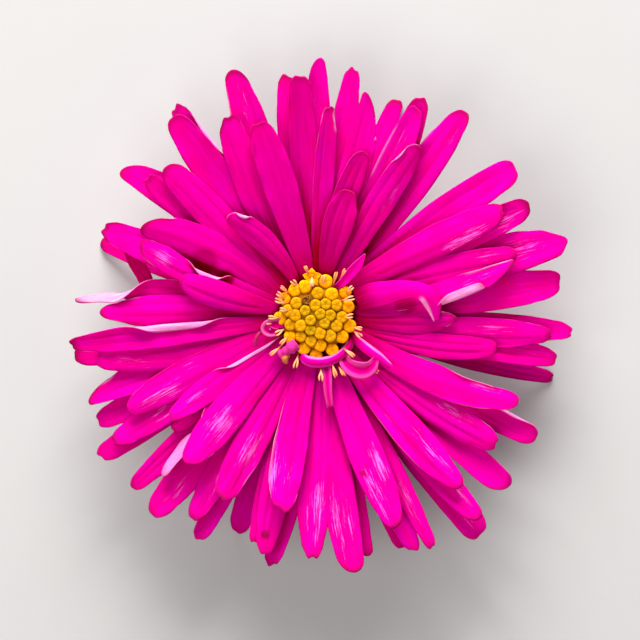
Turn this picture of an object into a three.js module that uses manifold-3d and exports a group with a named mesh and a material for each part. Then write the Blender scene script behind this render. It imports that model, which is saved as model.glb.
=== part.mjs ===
// Michaelmas daisy: one picked bloom lying face up on the flat cut face of its short stalk.
// Millimetres, +Z along the axis of the disc, face up.  The surface it rests on is z = 0.
// Three nodes: ray_florets (magenta), disc_florets (yellow), involucre (green).
import * as THREE from "three";
import { mergeVertices } from "three/addons/utils/BufferGeometryUtils.js";
import Module from "manifold-3d";

const wasm = await Module();
wasm.setup();

// ---- driving dimensions, mm and degrees ----
const STEP = 0.09;             // one step of the lists below; the bloom is about 510 steps across
const ROOT_REACH = 45;         // steps from the axis to where a ray leaves the ring
const RAY_THICK = 0.6;         // thickness of a ray blade
const TIP_REST = 0.28;         // height of the middle of a low ray's tip, so that its edge is at z = 0
const RING_INNER = 3.9;        // ring of ray tubes, inner radius
const RING_OUTER = 4.9;        // ring of ray tubes, outer radius
const RING_BOTTOM = 5.3;
const RING_TOP = 6.9;
const ROOT_HEIGHT = 5.8;       // height of the lowest ray roots
const ROOT_STEP = 0.2;         // rise of the root for each layer
const CORE_RADIUS = 3.2;       // yellow dome under the disc florets
const CORE_BOTTOM = 5.3;
const CORE_RIM = 6.9;
const CORE_TOP = 7.9;
const BUD_RADIUS = 0.47;       // one disc floret
const BUD_HEIGHT = 0.75;       // how far a floret stands over the dome
const BUD_REACH = 3.12;        // no floret centre lies farther out than this
const STALK_RADIUS = 1.35;     // cut stalk, also the flat face at z = 0
const CUP_TOP = 5.0;           // flat top of the green receptacle
const CUP_RADIUS = 4.3;
const BRACT_THICK = 0.6;
const BRACT_SINK = 0.25;       // how deep the foot of a bract lies in the cup
const RING_SIDES = 28;
const CORE_SIDES = 16;
const CUP_SIDES = 18;
const MERGE = 0.004;           // vertices closer than this are joined after the solids are fused
const LAYER_SLOPE_ROOT = [1, 4, 6, 8, 11, 17];      // slope of a ray at its root, by layer
const LAYER_SLOPE_TIP = [4, 6, 8, 9, 10, 15];       // slope of a ray at its tip, by layer
const CLAW_SHARE = 0.44;       // width of a ray at its root, as a share of its full width
const CLAW_END = 0.55;         // share of the length where the claw has reached the full width
const TAPER_START = 0.58;      // share of the length where the taper to the tip starts
const TAPER_KEPT = [0.52, 0.76];                    // least and most width kept at the start of the round end
const ROUND_END = 0.55;        // length of the round end, as a share of the ray's width

// ---- ray florets, one row each ----
// name, tip angle, reach in steps, angle half way, root angle, width in steps, layer, cup, roll
// Angles run counter-clockwise from +X.  Layer 0 is the outermost whorl, 5 the innermost.
// Cup over 0 raises the margins, under 0 arches the blade; roll turns the tip about its length.
const RAYS = [
  ["a_east_back", 356.5, 257, 355.8, 354, 24, 0.2, 0.1, 0],
  ["a_east_front", 355.3, 236, 353.2, 346, 31, 2.0, -0.1, 6],
  ["a_east_short", 349.8, 184, 345, 340, 26, 3.0, -0.15, -8],
  ["a_east_dark", 349.8, 245, 350, 350, 30, 1.0, 0.15, 10],
  ["a_low_one", 345.2, 248, 343.6, 342, 20, 0, 0.1, 0],
  ["b_curved", 337.8, 220, 333, 332, 33, 4.0, -0.15, -10],
  ["b_pale_edge", 331, 253, 329.8, 331, 29, 1.0, 0.2, 12],
  ["b_slanted", 324.4, 222, 321, 319, 34, 3.0, -0.15, 8],
  ["b_ridged", 317.8, 258, 317.6, 317, 33, 1.0, 0.25, 0],
  ["b_front", 310, 225, 308, 307, 34, 4.0, -0.15, 4],
  ["b_middle", 308.4, 261, 307, 306, 29, 2.0, 0.05, -6],
  ["b_longest", 307, 276, 305.3, 303, 29, 0.2, 0.1, -8],
  ["c_long", 296.9, 260, 298, 299, 22, 2.2, -0.1, 10],
  ["c_back_one", 292.6, 256, 292.2, 293, 28, 1.4, 0.1, 0],
  ["c_back_two", 290, 252, 289.6, 290, 24, 0.5, 0.1, 0],
  ["c_veined", 291.2, 226, 289.6, 288, 36, 4.0, -0.1, -4],
  ["c_narrow", 282.5, 247, 283, 284, 21, 0.6, 0.1, 0],
  ["c_south_wide", 278.2, 260, 277, 280, 34, 2.4, -0.1, 4],
  ["d_south", 268.9, 243, 270, 275, 35, 2.8, -0.1, 0],
  ["d_south_front", 260, 198, 258.6, 262, 36, 4.4, -0.15, 6],
  ["d_curled_tip", 259.8, 255, 262.4, 262, 24, 0.2, 0.2, 20],
  ["d_spotted", 257.6, 245, 257, 258, 31, 1.8, 0.05, -6],
  ["d_sliver", 254.6, 236, 253.6, 254, 20, 1.1, 0.1, 0],
  ["d_low_two", 250.8, 231, 249.6, 250, 24, 0, 0.1, 0],
  ["e_front", 242.8, 206, 243, 245, 34, 4.0, -0.15, -8],
  ["e_back", 243, 254, 243.3, 244, 24, 0.4, 0.1, 0],
  ["e_middle", 238.7, 239, 238.3, 240, 28, 1.8, -0.05, 6],
  ["e_bright", 229.4, 196, 227.8, 228, 37, 4.6, -0.15, 6],
  ["e_twisted", 226.3, 222, 225.5, 226, 22, 3.0, 0.1, 85],
  ["e_broad_back", 230.6, 259, 231, 232, 33, 1.2, 0.1, 0],
  ["f_back", 223.2, 253, 223.4, 224, 26, 0.4, 0.1, -10],
  ["f_dark_bit", 219, 184, 218.5, 218, 20, 0.6, 0.1, 0],
  ["f_fold", 215, 178, 213.4, 215, 26, 3.8, -0.1, 16],
  ["f_sheen", 206.8, 211, 205, 203, 34, 3.2, -0.12, -6],
  ["f_long_back", 213.4, 259, 213, 213, 27, 0.2, 0.1, 0],
  ["f_middle", 212.3, 239, 211.3, 210, 32, 1.8, -0.1, 6],
  ["f_blunt", 206.6, 244, 206.3, 206, 27, 0.8, 0.1, 0],
  ["g_pale_tip", 200, 240, 199, 200, 31, 1.4, 0.15, 14],
  ["g_swept", 191.4, 225, 196, 199, 30, 2.8, -0.12, 8],
  ["g_back", 189.9, 246, 191, 193, 27, 0.2, 0.1, 0],
  ["g_folded_margin", 186.9, 247, 187.2, 189, 27, 3.4, 0.2, -14],
  ["g_west", 179.6, 216, 178, 179, 33, 2.4, -0.1, 4],
  ["h_turned_tip", 176.6, 241, 173.4, 173, 27, 1.3, 0.15, -60],
  ["h_inner", 165.5, 140, 168.6, 171, 29, 5.0, -0.15, 8],
  ["h_glossy", 158.2, 190, 161.3, 163, 28, 3.8, -0.1, 14],
  ["h_low_three", 161.7, 230, 164.4, 167, 20, 0, 0.1, 0],
  ["h_back", 157.8, 230, 158.4, 159, 32, 1.0, 0.1, 0],
  ["i_front", 152.6, 195, 147.6, 152, 36, 3.2, -0.15, -8],
  ["i_hooked", 143.4, 242, 140.4, 140, 30, 0.6, 0.1, 8],
  ["i_shaded", 140.8, 218, 142, 142, 25, 1.8, 0.1, 0],
  ["i_middle", 135.2, 211, 135.8, 139, 33, 2.8, -0.1, 6],
  ["j_broad", 126.4, 245, 126.2, 130, 34, 2.0, 0.1, -6],
  ["j_pale_edge", 124, 252, 124.4, 127, 26, 1.3, 0.15, 10],
  ["j_front", 114.4, 217, 117, 122, 33, 2.8, -0.1, 6],
  ["j_folded_tip", 108.4, 259, 109.8, 111, 34, 1.0, 0.15, -12],
  ["j_short", 106.8, 201, 105.3, 103, 35, 4.0, -0.15, 4],
  ["j_inner", 132, 132, 124.8, 121, 25, 5.0, -0.2, -20],
  ["k_back", 96.8, 242, 97, 98, 31, 1.0, 0.1, 0],
  ["k_cupped", 93.8, 232, 94.6, 96, 27, 2.0, 0.25, 6],
  ["k_north", 89.6, 257, 90, 90, 29, 0.4, 0.1, 0],
  ["k_rimmed", 86.3, 209, 86.9, 90.5, 21, 3.0, 0.1, 14],
  ["k_back_two", 81.3, 250, 82, 83, 23, 0.9, 0.1, 0],
  ["k_cut_tip", 77, 225, 75.4, 76, 31, 2.2, -0.05, -8],
  ["l_low_four", 69.4, 230, 70, 71, 20, 0, 0.1, 0],
  ["l_behind", 73.5, 170, 77, 80, 25, 3.8, 0.1, 8],
  ["l_inner", 74.8, 129, 76.5, 77, 32, 5.0, 0.2, 0],
  ["l_cupped", 63.8, 231, 62.9, 63.5, 31, 2.0, 0.25, -8],
  ["l_back", 65, 240, 62.6, 62, 30, 0.9, 0.1, 0],
  ["l_front", 58.8, 198, 60.3, 60, 29, 3.6, -0.05, 14],
  ["m_long", 54, 253, 53.2, 51, 31, 1.0, 0.1, 0],
  ["m_broad", 36.8, 249, 38.7, 43, 34, 1.2, 0.15, 0],
  ["m_front", 28.9, 214, 32, 40, 34, 4.0, -0.15, -12],
  ["m_middle", 26.4, 240, 28.4, 33, 32, 1.8, 0.1, 6],
  ["n_notched", 16.6, 259, 18.3, 25, 36, 1.4, 0.1, -6],
  ["n_swept", 16.5, 209, 19.6, 29, 29, 3.0, -0.1, 8],
  ["n_rolled", 14, 201, 8.8, 6, 28, 3.9, -0.15, -22],
  ["n_dark", 8, 248, 7.6, 8, 37, 0.8, 0.2, 8],
  ["n_short", 1.6, 166, 356, 353, 27, 3.4, -0.1, 10],
];
const LOW_RAYS = ["a_low_one", "d_low_two", "h_low_three", "l_low_four"];

// ---- young, curled and bent rays: width in steps, then x, y in steps and z in mm ----
const YOUNG = [
  [8, [[40, -26, 6.8], [35, -38, 7.3], [22, -48, 7.6], [5, -52, 7.8], [-11, -49, 7.9], [-19, -44, 7.9]]],
  [10, [[26, -44, 6.8], [31, -54, 7.6], [44, -59, 8.0], [58, -56, 8.2], [68, -49, 8.1]]],
  [8, [[40, -24, 6.8], [54, -36, 8.0], [75, -52, 8.4]]],
  [8, [[-43, -9, 6.8], [-51, -10, 7.6], [-56, -18, 7.9], [-60, -29, 7.9]]],
  [9, [[11, -47, 6.8], [12, -66, 7.7], [14, -92, 8.1]]],
  [8, [[33, 36, 6.8], [41, 49, 7.7], [49, 61, 8.1]]],
  [18, [[44, 14, 6.9], [69, 21, 7.8], [98, 23, 8.5], [114, 13, 8.5], [119, -5, 8.1]]],
];

// ---- disc florets: x, y in steps ----
const BUDS = [
  [-4, 37.5], [9, 31], [-19.5, 23], [-10, 26], [1.5, 20], [14.5, 19], [27, 21], [-29, 15],
  [-18, 11], [-8.5, 14], [-0.5, 9], [9, 10], [19, 9], [29.5, 7.5], [-26, 4], [-10, 4],
  [-19, -0.5], [-33, -3], [4, 1], [13, -0.5], [24, -2], [-5, -5], [-23.5, -9], [-14, -10],
  [8, -7.5], [19, -10], [31, -10], [-5, -14], [-23.5, -20], [-14, -20], [4, -17], [13, -19],
  [24, -20], [-4.5, -24], [-11, -30.5], [4, -28], [15, -32], [0, -37.5],
];

const rad = (degrees) => degrees * Math.PI / 180;
const mix = (from, to, share) => from + (to - from) * share;

// Seeded draw in 0..1 for item i and use k, the same each time.
const draw = (i, k) => {
  const turn = Math.sin(i * 12.9898 + k * 78.233 + 4.1) * 43758.5453;
  return turn - Math.floor(turn);
};

const solidOf = (positions, triangles) => {
  const mesh = new wasm.Mesh({
    numProp: 3,
    vertProperties: new Float32Array(positions),
    triVerts: new Uint32Array(triangles),
  });
  mesh.merge();
  return new wasm.Manifold(mesh);
};

// Closed body through a row of rings with the same number of points, capped at both ends.
const loft = (rings) => {
  const count = rings[0].length;
  const half = count / 2;
  const positions = rings.flat(2);
  const triangles = [];
  for (let ring = 0; ring + 1 < rings.length; ring++) {
    for (let k = 0; k < count; k++) {
      const a = ring * count + k;
      const b = ring * count + (k + 1) % count;
      const c = a + count;
      const d = b + count;
      // both faces of a blade are split along the same diagonal
      if (k < half) {
        triangles.push(a, b, d, a, d, c);
      } else {
        triangles.push(a, b, c, b, d, c);
      }
    }
  }
  const last = (rings.length - 1) * count;
  for (let k = 0; k + 1 < half; k++) {
    const mirror = count - 1 - k;
    triangles.push(k, mirror, k + 1, k + 1, mirror, mirror - 1);
    triangles.push(last + k, last + k + 1, last + mirror, last + k + 1, last + mirror - 1, last + mirror);
  }
  return solidOf(positions, triangles);
};

// Blade along centre points: at each a width, a cup and a roll about the length.
// A blade without cups is flat, with four corners at each station instead of six.
const blade = (centres, widths, cups, rolls, thick) => {
  const rings = centres.map((centre, n) => {
    const before = new THREE.Vector3(...centres[Math.max(n - 1, 0)]);
    const after = new THREE.Vector3(...centres[Math.min(n + 1, centres.length - 1)]);
    const along = after.sub(before).normalize();
    const across = new THREE.Vector3(-along.y, along.x, 0).normalize().applyAxisAngle(along, rad(rolls[n]));
    const up = new THREE.Vector3().crossVectors(along, across);
    const half = widths[n] / 2;
    const at = (side, height) => new THREE.Vector3(...centre)
      .addScaledVector(across, side).addScaledVector(up, height).toArray();
    if (!cups) {
      return [
        at(-half, -thick / 2), at(half, -thick / 2), at(half, thick / 2), at(-half, thick / 2),
      ];
    }
    const edge = cups[n] * half;
    return [
      at(-half, edge - thick / 2), at(0, -thick / 2), at(half, edge - thick / 2),
      at(half, edge + thick / 2), at(0, thick / 2), at(-half, edge + thick / 2),
    ];
  });
  return loft(rings);
};

// ---- one ray ----
const layerValue = (list, layer) => {
  const low = Math.min(Math.floor(layer), list.length - 2);
  return mix(list[low], list[low + 1], layer - low);
};
// Places along a ray, as shares of its length, with the width there as a share of the full width:
// a narrow claw, a long taper and a round end.
const rayStations = (row, index) => {
  const [, , reach, , , width] = row;
  const shoulder = 1 - ROUND_END * width / (reach - ROOT_REACH);
  const kept = mix(...TAPER_KEPT, draw(index, 44));
  const claw = (s) => (s < CLAW_END ? mix(CLAW_SHARE, 1, Math.pow(s / CLAW_END, 0.8)) : 1);
  const taper = (s) => 1 - (1 - kept) * Math.pow(Math.max(0, s - TAPER_START) / (1 - TAPER_START), 2.1);
  const open = [0, 0.2, 0.45, 0.72, shoulder].map((s) => [s, claw(s) * taper(s)]);
  return [...open, [1, kept / 2]];
};
const rayHeight = (s, layer, length) => {
  const first = Math.tan(rad(layerValue(LAYER_SLOPE_ROOT, layer)));
  const final = Math.tan(rad(layerValue(LAYER_SLOPE_TIP, layer)));
  return ROOT_HEIGHT + ROOT_STEP * layer + length * (first * s + (final - first) * s * s / 2);
};
const rayCentre = (s, row) => {
  const [, tip, reach, mid, root] = row;
  const point = (angle, radius) => [radius * Math.cos(rad(angle)), radius * Math.sin(rad(angle))];
  const p0 = point(root, ROOT_REACH);
  const pm = point(mid, (ROOT_REACH + reach) / 2);
  const p2 = point(tip, reach);
  return [0, 1].map((k) => {
    const handle = 2 * pm[k] - (p0[k] + p2[k]) / 2;
    return STEP * ((1 - s) * (1 - s) * p0[k] + 2 * s * (1 - s) * handle + s * s * p2[k]);
  });
};
const ray = (row, index) => {
  const [name, , reach, , , width, layer, cup, roll] = row;
  const length = STEP * (reach - ROOT_REACH);
  const low = LOW_RAYS.includes(name);
  const lift = (draw(index, 1) - 0.5) * 0.5;
  const lean = (draw(index, 2) - 0.5) * 10;
  const stations = rayStations(row, index);
  const centres = stations.map(([s]) => {
    const [x, y] = rayCentre(s, row);
    const free = rayHeight(s, layer, length) + lift * s * s;
    return [x, y, low ? mix(ROOT_HEIGHT, TIP_REST, Math.pow(s, 1.5)) : free];
  });
  const widths = stations.map(([, share]) => width * STEP * share);
  const cups = stations.map(([s]) => (low ? 0 : cup * Math.min(1, s * 3)));
  const rolls = stations.map(([s]) => (low ? 0 : (roll + lean) * s * s));
  return blade(centres, widths, cups, rolls, RAY_THICK);
};

// ---- bodies turned about the axis ----
const turned = (profile, sides) => {
  const points = profile.map(([r, z]) => new THREE.Vector2(r, z));
  const geometry = new THREE.LatheGeometry(points, sides);
  geometry.rotateX(Math.PI / 2);
  geometry.deleteAttribute("normal");
  geometry.deleteAttribute("uv");
  const merged = mergeVertices(geometry, 1e-4);
  const kept = [];
  const index = merged.index.array;
  for (let i = 0; i < index.length; i += 3) {
    const [a, b, c] = [index[i], index[i + 1], index[i + 2]];
    if (a !== b && b !== c && a !== c) kept.push(a, b, c);
  }
  return solidOf(merged.attributes.position.array, kept);
};

// Join everything, then keep only the outer skin of the main body.
const joined = (solids) => {
  const whole = wasm.Manifold.union(solids).simplify(MERGE);
  const mesh = whole.getMesh();
  const geometry = new THREE.BufferGeometry();
  geometry.setAttribute("position", new THREE.BufferAttribute(new Float32Array(mesh.vertProperties), 3));
  geometry.setIndex(new THREE.BufferAttribute(new Uint32Array(mesh.triVerts), 1));
  const merged = mergeVertices(geometry, 1e-5);
  const position = merged.attributes.position.array;
  const index = merged.index.array;
  const group = Array.from({ length: position.length / 3 }, (_, i) => i);
  const top = (i) => {
    while (group[i] !== i) {
      group[i] = group[group[i]];
      i = group[i];
    }
    return i;
  };
  for (let i = 0; i < index.length; i += 3) {
    group[top(index[i])] = top(index[i + 1]);
    group[top(index[i + 1])] = top(index[i + 2]);
  }
  const volumes = new Map();
  for (let i = 0; i < index.length; i += 3) {
    const [a, b, c] = [0, 1, 2].map((k) => new THREE.Vector3().fromArray(position, index[i + k] * 3));
    const key = top(index[i]);
    volumes.set(key, (volumes.get(key) ?? 0) + a.dot(b.cross(c)) / 6);
  }
  const main = [...volumes.entries()].sort((p, q) => q[1] - p[1])[0][0];
  const kept = [];
  for (let i = 0; i < index.length; i += 3) {
    if (top(index[i]) === main) kept.push(index[i], index[i + 1], index[i + 2]);
  }
  const body = new THREE.BufferGeometry();
  body.setAttribute("position", new THREE.BufferAttribute(position, 3));
  body.setIndex(kept);
  const out = body.toNonIndexed();
  out.computeVertexNormals();
  return out;
};

const named = (name, geometry, colour, roughness) => {
  const material = new THREE.MeshStandardMaterial({ color: colour, roughness, metalness: 0 });
  const mesh = new THREE.Mesh(geometry, material);
  mesh.name = name;
  return mesh;
};

// ---- ray florets ----
const makeRays = () => {
  const ring = turned([
    [RING_INNER, RING_BOTTOM], [RING_OUTER, RING_BOTTOM], [RING_OUTER + 0.1, RING_BOTTOM + 0.8],
    [RING_OUTER - 0.2, RING_TOP], [RING_INNER, RING_TOP], [RING_INNER, RING_BOTTOM],
  ], RING_SIDES);
  const young = YOUNG.map(([width, points]) => {
    const last = points.length - 1;
    const centres = points.map(([x, y, z]) => [x * STEP, y * STEP, z]);
    const widths = points.map((_, n) => width * STEP * (n === last ? 0.6 : 1));
    return blade(centres, widths, null, points.map(() => 0), RAY_THICK);
  });
  return joined([ring, ...RAYS.map(ray), ...young]);
};

// ---- disc florets ----
const coreHeight = (radius) => mix(CORE_TOP, CORE_RIM, Math.pow(radius / CORE_RADIUS, 2));
const bud = (centre, index) => {
  const reach = Math.hypot(centre[0], centre[1]) * STEP;
  const share = Math.min(1, BUD_REACH / reach);
  const x = centre[0] * STEP * share;
  const y = centre[1] * STEP * share;
  const base = coreHeight(Math.min(reach, BUD_REACH));
  const size = BUD_RADIUS * (0.92 + 0.16 * draw(index, 3));
  const high = BUD_HEIGHT * (0.85 + 0.3 * draw(index, 4));
  const turn = draw(index, 5) * 60;
  const ringAt = (radius, z) => Array.from({ length: 6 }, (_, k) => [
    x + radius * Math.cos(rad(turn + 60 * k)), y + radius * Math.sin(rad(turn + 60 * k)), z,
  ]);
  return loft([
    ringAt(size * 0.8, base - 0.6), ringAt(size, base + high * 0.6), ringAt(size * 0.5, base + high),
  ]);
};
const makeDisc = () => {
  const rings = [0.95, 0.6].map((share) => [CORE_RADIUS * share, coreHeight(CORE_RADIUS * share)]);
  const core = turned([
    [0, CORE_BOTTOM], [CORE_RADIUS, CORE_BOTTOM], [CORE_RADIUS, CORE_RIM - 0.2], ...rings, [0, CORE_TOP],
  ], CORE_SIDES);
  return joined([core, ...BUDS.map(bud)]);
};

// ---- involucre: receptacle cup, three series of bracts, cut stalk ----
// count, height of the foot, height of the tip, radius of the tip, width, turn of the series
const BRACT_SERIES = [
  [13, 1.0, 3.1, 4.35, 1.35, 0],
  [14, 1.9, 4.1, 4.95, 1.3, 9],
  [15, 2.7, 4.75, 5.15, 1.2, 4],
];
const cupRadius = (z) => mix(1.7, CUP_RADIUS, Math.pow(Math.min(1, Math.max(0, (z - 0.6) / 3.9)), 0.6));
const bract = (angle, foot, tip, reach, width, index) => {
  const along = [Math.cos(rad(angle)), Math.sin(rad(angle))];
  const flare = (draw(index, 6) - 0.5) * 0.5;
  const middle = mix(foot, tip, 0.55);
  const points = [
    [cupRadius(foot) - BRACT_SINK, foot], [cupRadius(middle) - BRACT_SINK / 5, middle],
    [mix(cupRadius(tip), reach, 0.55), mix(foot, tip, 0.88)], [reach + flare, tip],
  ];
  const shares = [0.8, 1, 0.85, 0.35];
  const centres = points.map(([r, z]) => [along[0] * r, along[1] * r, z]);
  return blade(centres, shares.map((s) => s * width), null, [0, 0, 0, 0], BRACT_THICK);
};
const makeInvolucre = () => {
  const levels = [1.0, 1.8, 2.8, 3.9].map((z) => [cupRadius(z), z]);
  const cup = turned([
    [0, 0], [STALK_RADIUS, 0], [STALK_RADIUS, 0.6], ...levels,
    [CUP_RADIUS, CUP_TOP - 0.3], [CUP_RADIUS - 0.2, CUP_TOP], [0, CUP_TOP],
  ], CUP_SIDES);
  const bracts = [];
  BRACT_SERIES.forEach(([count, foot, tip, reach, width, turn], series) => {
    for (let k = 0; k < count; k++) {
      const index = series * 20 + k;
      const angle = turn + 360 * k / count + (draw(index, 7) - 0.5) * 6;
      bracts.push(bract(angle, foot, tip, reach, width, index));
    }
  });
  return joined([cup, ...bracts]);
};

const group = new THREE.Group();
group.name = "michaelmas_daisy";
group.add(named("ray_florets", makeRays(), 0xe6067f, 0.5));
group.add(named("disc_florets", makeDisc(), 0xf2ab12, 0.6));
group.add(named("involucre", makeInvolucre(), 0x6f8f3a, 0.7));
export default group;
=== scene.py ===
# Looks of the michaelmas daisy: thin petals, florets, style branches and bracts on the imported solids.
# Lengths are millimetres until a mesh is made, and metres from there on.
import math
from collections import namedtuple

import bpy
import numpy as np
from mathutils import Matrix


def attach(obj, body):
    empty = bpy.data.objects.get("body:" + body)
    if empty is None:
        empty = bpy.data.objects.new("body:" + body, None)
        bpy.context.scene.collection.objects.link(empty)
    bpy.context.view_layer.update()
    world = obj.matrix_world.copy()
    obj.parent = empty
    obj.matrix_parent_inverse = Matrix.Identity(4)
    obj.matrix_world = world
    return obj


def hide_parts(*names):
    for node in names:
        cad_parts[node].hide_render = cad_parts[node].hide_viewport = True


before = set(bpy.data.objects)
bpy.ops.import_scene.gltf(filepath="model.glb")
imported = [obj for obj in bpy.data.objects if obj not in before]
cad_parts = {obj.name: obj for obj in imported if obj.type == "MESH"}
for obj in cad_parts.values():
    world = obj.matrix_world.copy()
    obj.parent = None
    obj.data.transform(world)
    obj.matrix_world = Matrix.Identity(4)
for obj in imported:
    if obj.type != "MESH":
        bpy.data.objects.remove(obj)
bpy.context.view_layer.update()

# ---- the same driving values as the solids ----
STEP = 0.09  # one step of the lists below; the bloom is about 510 steps across
ROOT_REACH = 45  # steps from the axis to where a ray leaves the ring of tubes
ROOT_HEIGHT = 5.8  # height of the lowest ray roots
ROOT_STEP = 0.2  # rise of the root for each layer
CUP_GAIN = 1.3  # how far a petal's cup bends its margins
CORE_RADIUS = 3.2  # yellow dome under the disc florets
CORE_RIM = 6.9
CORE_TOP = 7.9
STALK_RADIUS = 1.35  # cut stalk, flat at z = 0
CUP_TOP = 5.0  # flat top of the green receptacle
CUP_RADIUS = 4.3
LAYER_SLOPE_ROOT = [1, 4, 6, 8, 11, 17]  # degrees at the root of a ray, layer by layer
LAYER_SLOPE_TIP = [4, 6, 8, 9, 10, 15]  # and at its tip

# ---- petals ----
TIP_REST = 0.1  # height of the middle line at the tip of a ray that lies on the surface
LOWEST = 0.06  # lowest middle surface of such a ray
PETAL_THICK = 0.2  # at the middle of a petal
CORE_FOOT = 5.32  # where the ring of tubes and the dome stand on the cup

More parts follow.
